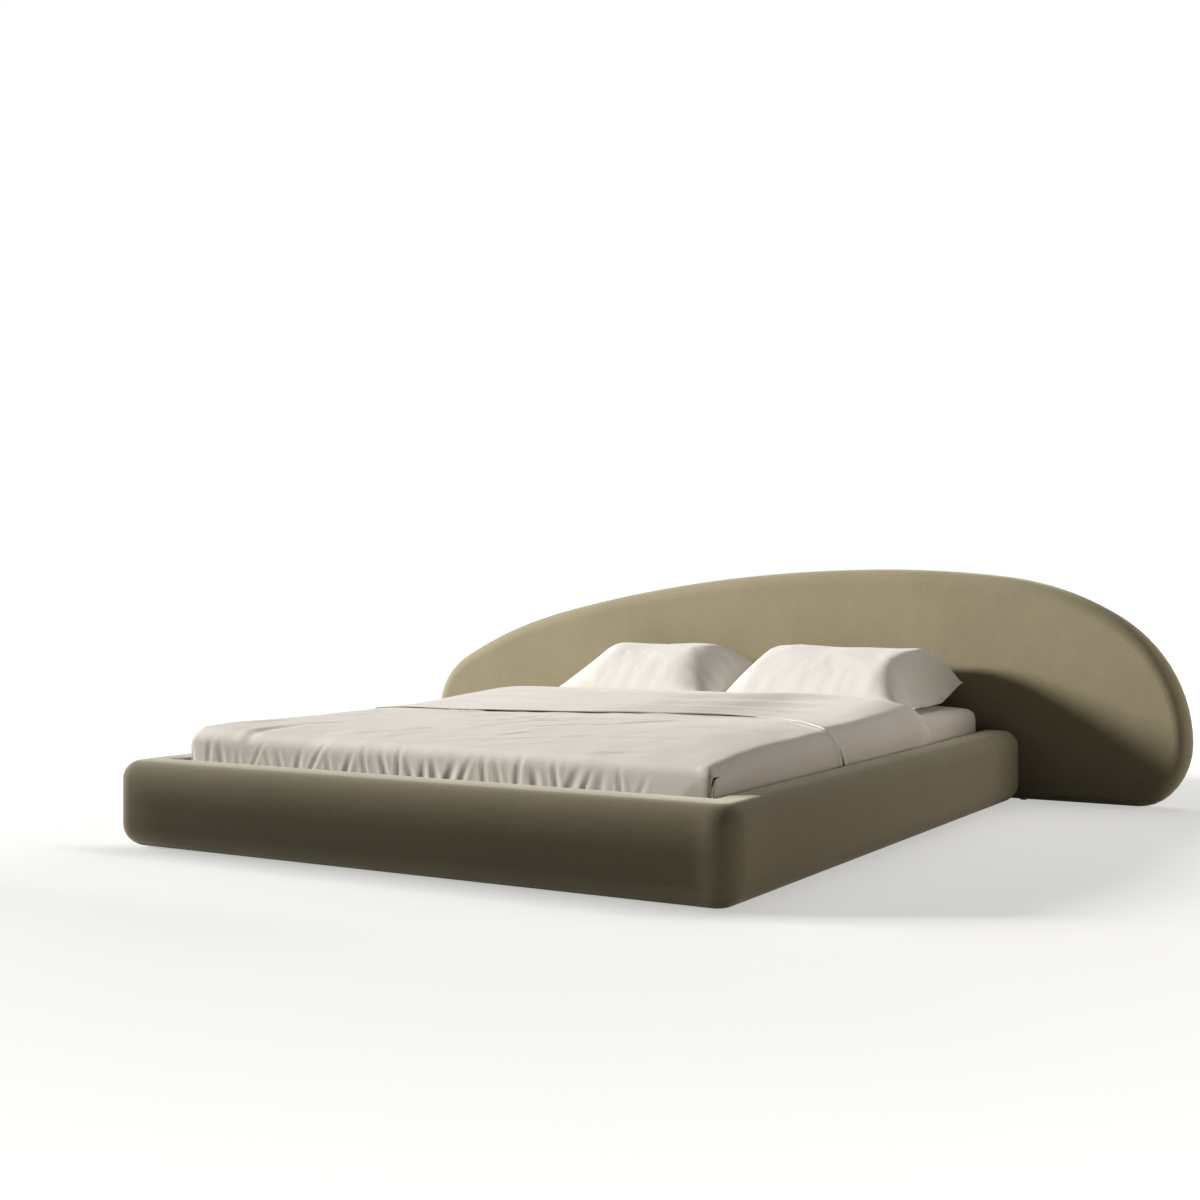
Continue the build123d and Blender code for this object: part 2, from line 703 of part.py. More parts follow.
def pillow_body():
    """A plump pillow on x = 0, y = 0, flat underneath, with drawn-in sides, leaning back to its rear."""
    half = pillow_width / 2
    front, rear = -pillow_depth / 2, pillow_depth / 2
    seam = pillow_seam_height
    top = pillow_height
    level = half - pillow_end_run
    run_share, rise_share = PILLOW_END_SHARES
    end_arc = ThreePointArc((half, seam), (half - run_share * pillow_end_run, rise_share * top), (level, top))
    across = make_face([
        Line((-half, 0), (half, 0)),
        Line((half, 0), (half, seam)),
        end_arc,
        Line((level, top), (-level, top)),
        mirror(end_arc, about=Plane.YZ),
        Line((-half, 0), (-half, seam)),
    ])
    crest = rear - pillow_crest_distance
    shoulder_y = (front + crest) / 2
    along = make_face([
        Line((front + seam, 0), (front, seam)),
        ThreePointArc((front, seam), (shoulder_y, top - pillow_front_fall), (crest, top)),
        ThreePointArc((crest, top), (rear, top / 2), (rear - 2 * seam, 0)),
        Line((rear - 2 * seam, 0), (front + seam, 0)),
    ])
    draw = pillow_draw_in
    plan = make_face([
        ThreePointArc((-half, front), (0, front + draw), (half, front)),
        ThreePointArc((half, front), (half - draw, 0), (half, rear)),
        ThreePointArc((half, rear), (0, rear - draw), (-half, rear)),
        ThreePointArc((-half, rear), (-half + draw, 0), (-half, front)),
    ])
    body = slab(Plane.XZ * across, front, rear) & extrude(Plane.YZ * along, amount=half, both=True)
    return body & extrude(plan, amount=top)


def make_pillows():
    """Two plump pillows side by side, a little right of the middle, their rear edges at the headboard."""
    pillow = pillow_body()
    pitch = pillow_width + pillow_gap
    left_x = pillow_pair_offset - pitch / 2
    y = pillow_front_y + pillow_depth / 2
    z = platform_z + mattress_height + fitted_sheet_thickness + soft_clearance
    return {"pillow_right": Pos(left_x + pitch, y, z) * pillow, "pillow_left": Pos(left_x, y, z) * pillow}


def main():
    pieces = {}
    for make in (make_headboard, make_rails, make_bearers):
        pieces.update(make())
    fit_hardware(pieces)
    for make in (make_slatted_base, make_mattress, make_covers, make_pillows):
        pieces.update(make())
    os.makedirs("parts", exist_ok=True)
    for name, piece in pieces.items():
        export_step(piece, f"parts/{name}.step")
        print(name, len(piece.solids()), "solid(s)")


main()
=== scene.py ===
"""Looks for a low padded bed with a pebble headboard: upholstery, bedding, slats and fittings."""

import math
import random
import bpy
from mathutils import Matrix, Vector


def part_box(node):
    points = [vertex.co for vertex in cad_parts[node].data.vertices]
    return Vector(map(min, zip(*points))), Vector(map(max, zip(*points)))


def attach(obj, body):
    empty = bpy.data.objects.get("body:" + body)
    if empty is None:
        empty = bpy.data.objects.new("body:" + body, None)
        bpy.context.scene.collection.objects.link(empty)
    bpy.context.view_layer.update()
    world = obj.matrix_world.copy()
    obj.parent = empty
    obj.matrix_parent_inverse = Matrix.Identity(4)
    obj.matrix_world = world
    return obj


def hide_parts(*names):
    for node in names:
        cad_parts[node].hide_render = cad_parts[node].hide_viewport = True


bl_info = {
    "name": "Padded Bed Dresser",
    "version": (1, 0, 0),
    "blender": (4, 5, 0),
    "location": "View3D > Sidebar > Bed",
    "description": "Dresses a packed bed frame with its upholstery, mattress and bedding",
    "category": "Object",
}

import bmesh
import bpy
from mathutils import Vector, noise

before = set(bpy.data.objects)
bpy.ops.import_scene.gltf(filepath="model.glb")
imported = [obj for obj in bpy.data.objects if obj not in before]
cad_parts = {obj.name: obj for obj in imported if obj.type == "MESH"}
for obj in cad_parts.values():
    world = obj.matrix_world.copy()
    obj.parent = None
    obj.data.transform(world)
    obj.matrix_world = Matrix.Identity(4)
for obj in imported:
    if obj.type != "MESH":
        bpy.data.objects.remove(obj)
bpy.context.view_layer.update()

# Sizes taken from the frame, in metres
HEAD_LOW, HEAD_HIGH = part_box("headboard_cover")
FLOOR_GAP = HEAD_LOW[2]
HEAD_Y, BACK_Y = HEAD_LOW[1], HEAD_HIGH[1]
BASE_LOW, BASE_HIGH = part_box("foot_rail_cover")
FOOT_Y, WELL_Y = BASE_LOW[1], BASE_HIGH[1]
HALF_BASE, RAIL_TOP = BASE_HIGH[0], BASE_HIGH[2]
WELL_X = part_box("side_rail_right_cover")[0][0]
CORE_LOW, CORE_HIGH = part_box("side_rail_right_core")
FOOT_CORE_LOW, FOOT_CORE_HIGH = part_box("foot_rail_core")
MATTRESS_LOW, MATTRESS_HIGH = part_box("mattress_cover")
DUVET_LOW, DUVET_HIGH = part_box("duvet")
BAND_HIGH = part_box("turned_down_sheet")[1]


# Selecting and finishing by operators

def clear_selection():
    """Back to object mode with nothing selected."""
    if bpy.context.object and bpy.context.object.mode != "OBJECT":
        bpy.ops.object.mode_set(mode="OBJECT")
    bpy.ops.object.select_all(action="DESELECT")


def take(piece):
    """Makes the piece the only one selected."""
    clear_selection()
    piece.select_set(True)
    bpy.context.view_layer.objects.active = piece


def settle(piece, name):
    """Names the new piece and puts its place and size into its mesh."""
    piece.name = name
    piece.data.name = name
    take(piece)
    bpy.ops.object.transform_apply(location=True, rotation=True, scale=True)
    return piece


def new_block(name, low, high):
    """A box between two corners."""
    clear_selection()
    middle = [(a + b) / 2 for a, b in zip(low, high)]
    size = [b - a for a, b in zip(low, high)]
    bpy.ops.mesh.primitive_cube_add(size=1, location=middle, scale=size)
    return settle(bpy.context.object, name)


def pick(piece, kind, wanted):
    """Goes into edit mode with only the wanted vertices, edges or faces selected."""
    take(piece)
    bpy.ops.object.mode_set(mode="EDIT")
    bpy.ops.mesh.select_mode(type=kind)
    bpy.ops.mesh.select_all(action="DESELECT")
    mesh = bmesh.from_edit_mesh(piece.data)
    for part in {"VERT": mesh.verts, "EDGE": mesh.edges, "FACE": mesh.faces}[kind]:
        if wanted(part):
            part.select_set(True)
    bmesh.update_edit_mesh(piece.data)


def leave_edit():
    bpy.ops.object.mode_set(mode="OBJECT")


def near(value, place, reach=0.0006):
    return abs(value - place) < reach


def along(edge, axis):
    """Whether an edge runs along one axis."""
    span = edge.verts[1].co - edge.verts[0].co
    return abs(span[axis]) > 0.98 * span.length


def both_at(edge, axis, place):
    return all(near(vertex.co[axis], place) for vertex in edge.verts)


def round_edges(piece, wanted, radius, segments):
    """Bevels the wanted edges round."""
    pick(piece, "EDGE", wanted)
    bpy.ops.mesh.bevel(offset=radius, segments=segments, profile=0.5, affect="EDGES")
    leave_edit()


def apply_modifier(piece, kind, name, **settings):
    """Adds a modifier with its settings and applies it."""
    take(piece)
    made = piece.modifiers.new(name, kind)
    for key, value in settings.items():
        setattr(made, key, value)
    bpy.ops.object.modifier_apply(modifier=made.name)


def carve(piece, low, high):
    """Cuts a box out of the piece."""
    tool = new_block("cutter", low, high)
    apply_modifier(piece, "BOOLEAN", "carve", operation="DIFFERENCE", solver="EXACT", object=tool)
    bpy.data.objects.remove(tool, do_unlink=True)


def cut(piece, place, normal):
    """Keeps the part of the piece behind a plane."""
    pick(piece, "FACE", lambda face: True)
    bpy.ops.mesh.bisect(plane_co=place, plane_no=normal, clear_outer=True)
    leave_edit()


def slit(piece, edges, rear, top):
    """Opens an upright slit between two places across, in a shell, in front of a depth and below a height."""
    left, right = edges
    around, above = 0.03, 0.01

    def beside(face):
        middle = face.calc_center_median()
        return middle.y < rear and middle.z < top + above and left - around < middle.x < right + around

    def inside(face):
        middle = face.calc_center_median()
        return middle.y < rear and middle.z < top and left < middle.x < right

    for place, normal in (((left, 0, 0), (1, 0, 0)), ((right, 0, 0), (1, 0, 0)), ((0, 0, top), (0, 0, 1))):
        pick(piece, "FACE", beside)
        bpy.ops.mesh.bisect(plane_co=place, plane_no=normal)
        leave_edit()
    pick(piece, "FACE", inside)
    bpy.ops.mesh.delete(type="FACE")
    leave_edit()


def copy_of(piece, name):
    """A copy with its own mesh."""
    take(piece)
    bpy.ops.object.duplicate(linked=False)
    made = bpy.context.object
    made.name = name
    made.data.name = name
    return made


def even_out(piece, size):
    """Remeshes the piece into even squares."""
    apply_modifier(piece, "REMESH", "even", mode="VOXEL", voxel_size=size, use_smooth_shade=True)


def move_points(piece, place):
    """Moves every point by a function of the point and its normal."""
    normals = [vertex.normal.copy() for vertex in piece.data.vertices]
    for vertex, normal in zip(piece.data.vertices, normals):
        vertex.co = place(vertex.co, normal)
    piece.data.update()


def smooth_look(piece, angle=None):
    """Smooth shading, everywhere or up to an angle in degrees."""
    take(piece)
    if angle is None:
        bpy.ops.object.shade_smooth()
    else:
        bpy.ops.object.shade_smooth_by_angle(angle=math.radians(angle))


def outward(piece):
    pick(piece, "FACE", lambda face: True)
    bpy.ops.mesh.normals_make_consistent(inside=False)
    leave_edit()


def give_finish(piece, finish):
    """Puts the finish on the piece in place of any other."""
    piece.data.materials.clear()
    piece.data.materials.append(finish)


def dress(piece, body, nodes, finish):
    """Puts the piece on its body, in place of its nodes, with its finish."""
    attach(piece, body)
    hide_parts(*nodes)
    give_finish(piece, finish)


def ease(value, low, high):
    """0 below low, 1 above high, with a soft ramp between."""
    share = min(max((value - low) / (high - low), 0.0), 1.0)
    return share * share * (3 - 2 * share)


def hump(value, middle, width):
    """1 at the middle, with a bell's fall on both sides."""
    return math.exp(-(((value - middle) / width) ** 2))


def crest(off, width, trough=1.0):
    """A rounded ridge with a shallow trough beside it."""
    return hump(off, 0, width) - 0.45 * hump(off, 1.7 * width, trough * width)


def ripple(x, y, z):
    """Smooth noise, between -1 and 1."""
    return noise.noise(Vector((x, y, z)))


# Finishes

class Wire:
    """A shader socket that sums and products can be written with."""

    def __init__(self, finish, socket):
        self.finish = finish
        self.socket = socket

    def sum(self, operation, first, second=0.0):
        return self.finish.node("Math", {"operation": operation}, {0: first, 1: second})

    def __add__(self, other):
        return self.sum("ADD", self, other)

    __radd__ = __add__

    def __sub__(self, other):
        return self.sum("SUBTRACT", self, other)

    def __rsub__(self, other):
        return self.sum("SUBTRACT", other, self)

    def __mul__(self, other):
        return self.sum("MULTIPLY", self, other)

    __rmul__ = __mul__

    def __pow__(self, other):
        return self.sum("POWER", self, other)

    def sine(self):
        return self.sum("SINE", self)

    def clipped(self):
        return self.finish.node("Clamp", {}, {"Value": self})


class Wiring:
    """A node tree whose nodes are made by one method."""

    def __init__(self, tree):
        self.tree = tree

    def node(self, kind, settings, inputs, output=0):
        made = self.tree.nodes.new("ShaderNode" + kind)
        for name, value in settings.items():
            setattr(made, name, value)
        for name, value in inputs.items():
            self.feed(made.inputs[name], value)
        return Wire(self, made.outputs[output])

    def feed(self, socket, value):
        if isinstance(value, Wire):
            self.tree.links.new(value.socket, socket)
        else:
            socket.default_value = value

    def end_with(self, kind, wire):
        """Shows the wire's shader as the tree's surface."""
        self.tree.links.new(wire.socket, self.tree.nodes[kind + " Output"].inputs["Surface"])


class Finish(Wiring):
    """A material with one Principled shader."""

    def __init__(self, name):
        self.material = bpy.data.materials.new(name)
        self.material.use_nodes = True
        super().__init__(self.material.node_tree)
        self.shader = self.tree.nodes["Principled BSDF"]
        self.place = self.node("TexCoord", {}, {}, "Object")

    def set(self, **values):
        """Sets the shader's sockets, named with underscores for their spaces."""
        for name, value in values.items():
            self.feed(self.shader.inputs[name.replace("_", " ")], value)

    def stretched(self, scale, turn=(0, 0, 0)):
        return self.node("Mapping", {}, {"Vector": self.place, "Scale": scale, "Rotation": turn})

    def noise(self, scale, detail=3.0, roughness=0.55, vector=None):
        sockets = {"Vector": vector or self.place, "Scale": scale, "Detail": detail, "Roughness": roughness}
        return self.node("TexNoise", {}, sockets)

    def blend(self, share, first, second):
        """A colour between two colours."""
        sockets = {0: share, 6: first, 7: second}
        return self.node("Mix", {"data_type": "RGBA"}, sockets, 2)

    def tinted(self, share, colour, dark, light):
        """The colour between a darker and a lighter tone of it."""
        tones = [(*[min(1.0, value * tone) for value in colour], 1.0) for tone in (dark, light)]
        return self.blend(share, *tones)

    def bump(self, height, strength, distance, under=None):
        sockets = {"Height": height, "Strength": strength, "Distance": distance}
        if under is not None:
            sockets["Normal"] = under
        return self.node("Bump", {}, sockets)

    def axes(self):
        split = self.node("SeparateXYZ", {}, {"Vector": self.place})
        return [Wire(self, socket) for socket in split.socket.node.outputs]


def per_metre(pitch):
    """Radians per metre of a wave with this pitch."""
    return 2 * math.pi / pitch


def woven_upholstery(name, colour):
    """Dense short-pile weave: crossed threads, slubs and a soft nap that catches light at its edges."""
    made = Finish(name)
    x, y, z = made.axes()
    step = per_metre(0.0026)
    wander = made.noise(14, 2) * 5.0
    threads = (x * step + wander).sine() + (y * step).sine() + (z * step + wander).sine()
    across = made.noise(1, 3, 0.6, made.stretched((60, 60, 420)))
    upright = made.noise(1, 3, 0.6, made.stretched((420, 420, 50)))
    slub = across * 0.5 + upright * 0.5
    nap = made.noise(3.2, 4, 0.6)
    tone = (slub * 1.3 + nap * 0.5 - 0.4).clipped()
    made.set(
        Base_Color=made.tinted(tone, colour, 0.80, 1.22),
        Roughness=0.86 + slub * 0.1,
        Specular_IOR_Level=0.18,
        Sheen_Weight=0.60,
        Sheen_Roughness=0.38,
        Sheen_Tint=(0.82, 0.80, 0.68, 1.0),
    )
    fine = made.bump(threads * 0.16 + slub * 0.9, 0.30, 0.0012)
    made.set(Normal=made.bump(made.noise(5.5, 2), 0.30, 0.010, fine))
    return made.material


def washed_cotton(name, colour, crumple=1.0):
    """Plain cotton percale with small creases from washing."""
    made = Finish(name)
    x, y, z = made.axes()
    step = per_metre(0.0014)
    threads = (x * step).sine() + (y * step).sine() + (z * step).sine()
    crease = made.noise(9, 4, 0.5, made.stretched((1.0, 0.55, 1.0), (0, 0, 0.6)))
    rumple = made.noise(34, 3, 0.55)
    tone = (made.noise(3, 3) * 0.7 + rumple * 0.3).clipped()
    made.set(
        Base_Color=made.tinted(tone, colour, 0.955, 1.03),
        Roughness=0.88 + tone * 0.08,
        Specular_IOR_Level=0.2,
        Sheen_Weight=0.16,
        Sheen_Roughness=0.5,
        Sheen_Tint=(1.0, 0.98, 0.95, 1.0),
    )
    fine = made.bump(threads * 0.1 + rumple * 0.8, 0.16 * crumple, 0.0016)
    made.set(Normal=made.bump(crease, 0.22 * crumple, 0.010, fine))
    return made.material


def quilted_knit(name, colour):
    """Mattress ticking: a knitted face quilted in soft waves."""
    made = Finish(name)
    x, y, _ = made.axes()
    wave = per_metre(0.09)
    stitch = ((x * wave + (y * wave).sine() * 0.9).sine() * 0.5 + 0.5) ** 0.35
    knit = made.noise(420, 2)
    made.set(
        Base_Color=made.tinted(stitch, colour, 0.86, 1.0),
        Roughness=0.86 + knit * 0.08,
        Sheen_Weight=0.2,
    )
    fine = made.bump(knit, 0.2, 0.001)
    made.set(Normal=made.bump(stitch, 0.6, 0.006, fine))
    return made.material


def plain_lining(name, colour):
    """Thin dark lining cloth stretched over the back."""
    made = Finish(name)
    x, _, z = made.axes()
    step = per_metre(0.0018)
    threads = (x * step).sine() + (z * step).sine()
    pull = made.noise(6, 3, 0.5, made.stretched((0.5, 1, 2.2)))
    made.set(
        Base_Color=made.tinted(pull, colour, 0.85, 1.2),
        Roughness=0.82 + pull * 0.1,
        Specular_IOR_Level=0.25,
        Normal=made.bump(threads * 0.2 + pull, 0.25, 0.002),
    )
    return made.material


def sawn_wood(name, colour, grain_axis, dark=0.72, gloss=0.62):
    """Wood with grain along one axis, growth bands, flecks and small pores."""
    made = Finish(name)
    ring_scale, fleck_scale = [26.0] * 3, [260.0] * 3
    ring_scale[grain_axis], fleck_scale[grain_axis] = 1.4, 9.0
    rings = made.noise(1, 4, 0.55, made.stretched(ring_scale))
    fleck = made.noise(1, 2, 0.5, made.stretched(fleck_scale))
    bands = ((rings * 22.0).sine() * 0.5 + 0.5) * 0.5 + rings * 0.5
    tone = (bands * 0.75 + fleck * 0.35).clipped()
    made.set(
        Base_Color=made.tinted(tone, colour, dark, 1.12),
        Roughness=gloss + fleck * 0.2 - 0.1,
        Specular_IOR_Level=0.35,
        Normal=made.bump(bands * 0.4 + fleck * 0.6, 0.25, 0.0009),
    )
    return made.material


def laid_plywood(name, colour):
    """Plywood: a rotary-cut face, with its plies showing as stripes through the thickness."""
    made = Finish(name)
    _, y, _ = made.axes()
    plies = (y * per_metre(0.003)).sine() * 0.5 + 0.5
    face = made.noise(1, 4, 0.6, made.stretched((2.2, 30, 14)))
    tone = (((face * 16.0).sine() * 0.5 + 0.5) * 0.6 + plies * 0.25 + 0.1).clipped()
    made.set(
        Base_Color=made.tinted(tone, colour, 0.74, 1.1),
        Roughness=0.62 + face * 0.18,
        Normal=made.bump(tone, 0.2, 0.0008),
    )
    return made.material


def coated_metal(name, colour, roughness, metallic=0.0, texture=650.0):
    """Powder coat or plating: orange peel, faint scuffs and dust."""
    made = Finish(name)
    peel = made.noise(texture, 2)
    scuff = made.noise(22, 5, 0.65)
    made.set(
        Base_Color=made.tinted(scuff, colour, 0.85, 1.18),
        Metallic=metallic,
        Roughness=roughness + scuff * 0.22 - 0.08,
        Normal=made.bump(peel, 0.22, 0.0004),
    )
    return made.material


def moulded_plastic(name, colour):
    """Moulded polypropylene with a fine spark-eroded texture."""
    made = Finish(name)
    grit = made.noise(1400, 2)
    bloom = made.noise(30, 3)
    made.set(
        Base_Color=made.tinted(bloom, colour, 0.8, 1.35),
        Roughness=0.48 + bloom * 0.2,
        Specular_IOR_Level=0.45,
        Normal=made.bump(grit, 0.3, 0.0003),
    )
    return made.material


def bare_floor():
    """A pale floor that the object's shadow falls on, bleached towards white where the camera sees it."""
    made = Finish("pale_floor")
    grain = made.noise(2.2, 4)
    made.set(
        Base_Color=made.blend(grain, (0.56, 0.558, 0.55, 1), (0.58, 0.578, 0.57, 1)),
        Roughness=0.9 + grain * 0.05,
        Specular_IOR_Level=0.1,
    )
    dark = made.node("Emission", {}, {"Strength": 0.0})
    glow = made.node("Emission", {}, {"Color": (1.0, 0.998, 0.99, 1.0), "Strength": 1.0})
    path = made.node("LightPath", {}, {}, "Is Camera Ray")
    shiny = made.node("LightPath", {}, {}, "Is Glossy Ray")
    away = made.node("VectorMath", {"operation": "LENGTH"}, {0: made.place}, 1)
    reach = {"Value": away, "From Min": 1.7, "From Max": 5.6, "To Min": 0.48, "To Max": 1.0}
    share = (path + shiny).clipped() * made.node("MapRange", {"interpolation_type": "SMOOTHSTEP"}, reach)
    lit = Wire(made, made.shader.outputs[0])
    mixed = made.node("AddShader", {}, {0: lit, 1: made.node("MixShader", {}, {0: share, 1: dark, 2: glow})})
    made.end_with("Material", mixed)
    return made.material


# Settings that a user would change

def colour_setting(name, description, default):
    return bpy.props.FloatVectorProperty(
        name=name, description=description, subtype="COLOR", size=3, default=default, min=0, max=1)


def length_setting(name, description, default, high, low=0):
    return bpy.props.FloatProperty(
        name=name, description=description, default=default, min=low, max=high, unit="LENGTH")


def light_setting(name, description, default, unit="POWER"):
    return bpy.props.FloatProperty(name=name, description=description, default=default, min=0, unit=unit)


class UpholsterySettings(bpy.types.PropertyGroup):
    colour: colour_setting("Upholstery colour", "Colour of the woven cover", (0.212, 0.180, 0.116))
    front_crown: length_setting(
        "Front crown", "How far the headboard's padding swells in the middle", 0.004, 0.009)
    edge_radius: length_setting(
        "Headboard edge", "Rounding of the headboard's front and back edges", 0.050, 0.056, 0.02)
    rail_top_radius: length_setting(
        "Rail top edge", "Rounding of the rails' outer top edge", 0.049, 0.06, 0.02)
    rail_under_radius: length_setting(
        "Rail under edge", "Rounding of the rails' outer bottom edge", 0.062, 0.065, 0.02)
    rail_corner_radius: length_setting(
        "Rail corner", "Rounding of the rails' upright corners", 0.073, 0.09, 0.066)


class BeddingSettings(bpy.types.PropertyGroup):
    colour: colour_setting("Cotton colour", "Colour of the duvet and sheets", (0.715, 0.664, 0.606))
    pillow_colour: colour_setting("Pillow colour", "Colour of the pillowcases", (0.735, 0.69, 0.635))
    pucker_depth: length_setting(
        "Pucker depth", "Depth of the gathers over the foot rail", 0.0052, 0.015)
    crease_height: length_setting(
        "Crease height", "Height of the creases on top of the duvet", 0.0030, 0.010)
    roll_height: length_setting(
        "Roll height", "Height of the soft rolls in the turned-down sheet", 0.013, 0.02)
    heap_height: length_setting(
        "Heap height", "How far the turned-down sheet heaps up towards the pillows", 0.024, 0.04)


class StageSettings(bpy.types.PropertyGroup):
    key_strength: light_setting("Key light", "Strength of the low light from the left", 5.7, "NONE")
    top_power: light_setting("Top light", "Power of the soft light overhead", 52)
    side_power: light_setting("Side light", "Power of the soft light from the right", 92)
    left_power: light_setting("Left light", "Power of the cool soft light from the left", 60)
    sky: light_setting("Ambient", "Strength of the even light all round", 0.03, "NONE")


# Headboard

# The pebble outline: its widest height above the cover's underside, the place of its highest point across
# and the width of its foot arcs. For each side, the tangents of the turns where its three arcs join, as if
# its rise were its reach, and the middle arc's radius as a share of that reach
PEBBLE_WIDEST = 0.207
PEBBLE_PEAK = 0.430
PEBBLE_TOE = 0.165
PEBBLE_SIDE_SHARES = ((1, (0.8838, 4.699), 0.9087), (-1, (0.5071, 1.171), 0.8704))
OUTLINE_POINTS_PER_METRE = 26
# The cover folded over the back, the groove along its edge, and the lining's place inside it
BACK_HEM = 0.070
GROOVE_WIDTH, GROOVE_DEPTH = 0.0008, 0.0022
LINING_INSET = BACK_HEM + 0.0012
LINING_THICKNESS, LINING_EDGE = 0.002, 0.0012
# Rings of the front's padding, from its rounded edge inwards: width, and share of the crown
CROWN_RINGS = ((0.018, 0.10), (0.022, 0.28), (0.024, 0.30), (0.018, 0.22))


def end_radii(over, up, first_turn, last_turn):
    """Radii of the arcs that start and end a quarter turn of given width and height, for its joints' turns."""
    c1, s1, c2, s2 = math.cos(first_turn), math.sin(first_turn), math.cos(last_turn), math.sin(last_turn)
    spread = (1 - c1) * (1 - s2) - c2 * s1
    return (over * (1 - s2) - c2 * up) / spread, ((1 - c1) * up - s1 * over) / spread


def placed_arcs(side, half, widest, arcs):
    """The arcs with their centres, each one tangent to the one before, from the widest point on."""
    x, z = side * (half - arcs[0][0]), widest
    placed, before = [], arcs[0][0]
    for radius, start, end in arcs:
        x += side * (before - radius) * math.cos(start)
        z += (before - radius) * math.sin(start)
        placed.append((x, z, radius, start, end))
        before = radius
    return placed


def pebble_outline(inset):
    """Points of the headboard's pebble outline, drawn in by a distance, anticlockwise from its right end."""
    half = (HEAD_HIGH[0] - HEAD_LOW[0]) / 2
    widest = FLOOR_GAP + PEBBLE_WIDEST
    rise = HEAD_HIGH[2] - widest
    quarter, eighth = math.pi / 2, math.pi / 4
    sides = []
    for side, slope_shares, middle_share in PEBBLE_SIDE_SHARES:
        reach = abs(side * half - PEBBLE_PEAK)
        low_turn, high_turn = (math.atan(share * reach / rise) for share in slope_shares)
        middle = middle_share * reach
        over = reach - middle * (math.cos(low_turn) - math.cos(high_turn))
        up = rise - middle * (math.sin(high_turn) - math.sin(low_turn))
        first, last = end_radii(over, up, low_turn, high_turn)
        upper, lower = end_radii(PEBBLE_TOE, widest - FLOOR_GAP, eighth, eighth)
        climb = [(first, 0, low_turn), (middle, low_turn, high_turn), (last, high_turn, quarter)]
        under = [(upper, 0, -eighth), (lower, -eighth, -quarter)]
        placed = placed_arcs(side, half, widest, under)[::-1] + placed_arcs(side, half, widest, climb)
        points = []
        for x, z, radius, *turns in placed:
            low, high = sorted(turns)
            count = max(4, round(OUTLINE_POINTS_PER_METRE * (high - low) * radius))
            drawn = radius - inset
            for i in range(count):
                angle = low + (high - low) * i / count
                points.append((x + side * drawn * math.cos(angle), z + drawn * math.sin(angle)))
        points.append((PEBBLE_PEAK, HEAD_HIGH[2] - inset))
        sides.append(points)
    right, left = sides
    return right[:-1] + left[::-1]


def pebble_plate(name, inset, near_y, far_y):
    """A flat plate in the pebble outline between two depths."""
    points = pebble_outline(inset)
    clear_selection()
    bpy.ops.mesh.primitive_circle_add(vertices=len(points), radius=1, fill_type="NGON")
    piece = settle(bpy.context.object, name)
    for vertex, (x, z) in zip(piece.data.vertices, points):
        vertex.co = (x, near_y, z)
    pick(piece, "FACE", lambda face: True)
    bpy.ops.mesh.extrude_region_move(TRANSFORM_OT_translate={"value": (0, far_y - near_y, 0)})
    leave_edit()
    outward(piece)
    return piece


def make_headboard(settings):
    """The headboard's padded cover, with a recess at the back for the lining."""
    piece = pebble_plate("headboard_upholstery", 0.0, HEAD_Y, BACK_Y)
    radius = settings.edge_radius
    round_edges(piece, lambda edge: both_at(edge, 1, HEAD_Y) or both_at(edge, 1, BACK_Y), radius, 9)
    pick(piece, "FACE", lambda face: face.normal.y > 0.99 and len(face.verts) > 8)
    bpy.ops.mesh.inset(thickness=BACK_HEM - radius, depth=0)
    bpy.ops.mesh.inset(thickness=GROOVE_WIDTH, depth=-GROOVE_DEPTH)
    leave_edit()
    pick(piece, "FACE", lambda face: face.normal.y < -0.99 and len(face.verts) > 8)
    for width, share in CROWN_RINGS:
        bpy.ops.mesh.inset(thickness=width, depth=share * settings.front_crown)
    leave_edit()
    smooth_look(piece, 50)
    nodes = ["headboard_cover", "headboard_front_foam", "headboard_edge_foam"]
    # Its finish is the rail weave made lighter, as painted light
    dress(piece, "bed_frame", nodes, FINISHES["headboard"])


def make_back_lining():
    """The lining stretched over the back, folded under along its edge."""
    piece = pebble_plate("headboard_lining", LINING_INSET, BACK_Y - LINING_THICKNESS, BACK_Y)
    round_edges(piece, lambda edge: both_at(edge, 1, BACK_Y), LINING_EDGE, 2)
    smooth_look(piece, 50)
    dress(piece, "bed_frame", ["headboard_back_cover"], FINISHES["lining"])


# Padded rails

RIM_RADIUS = 0.025
HEM_DEPTH = 0.045
COVER_THICKNESS = 0.002
# How much of the padding stays between a core and the well, and the room round a core
WELL_PADDING = 0.004
CORE_ROOM = 0.0003
# How far a cut goes past the rails, and the corners of a box that holds the whole bed
BEYOND = 0.05
ALL_LOW, ALL_HIGH = (-2, -2, -1), (2, 2, 1)


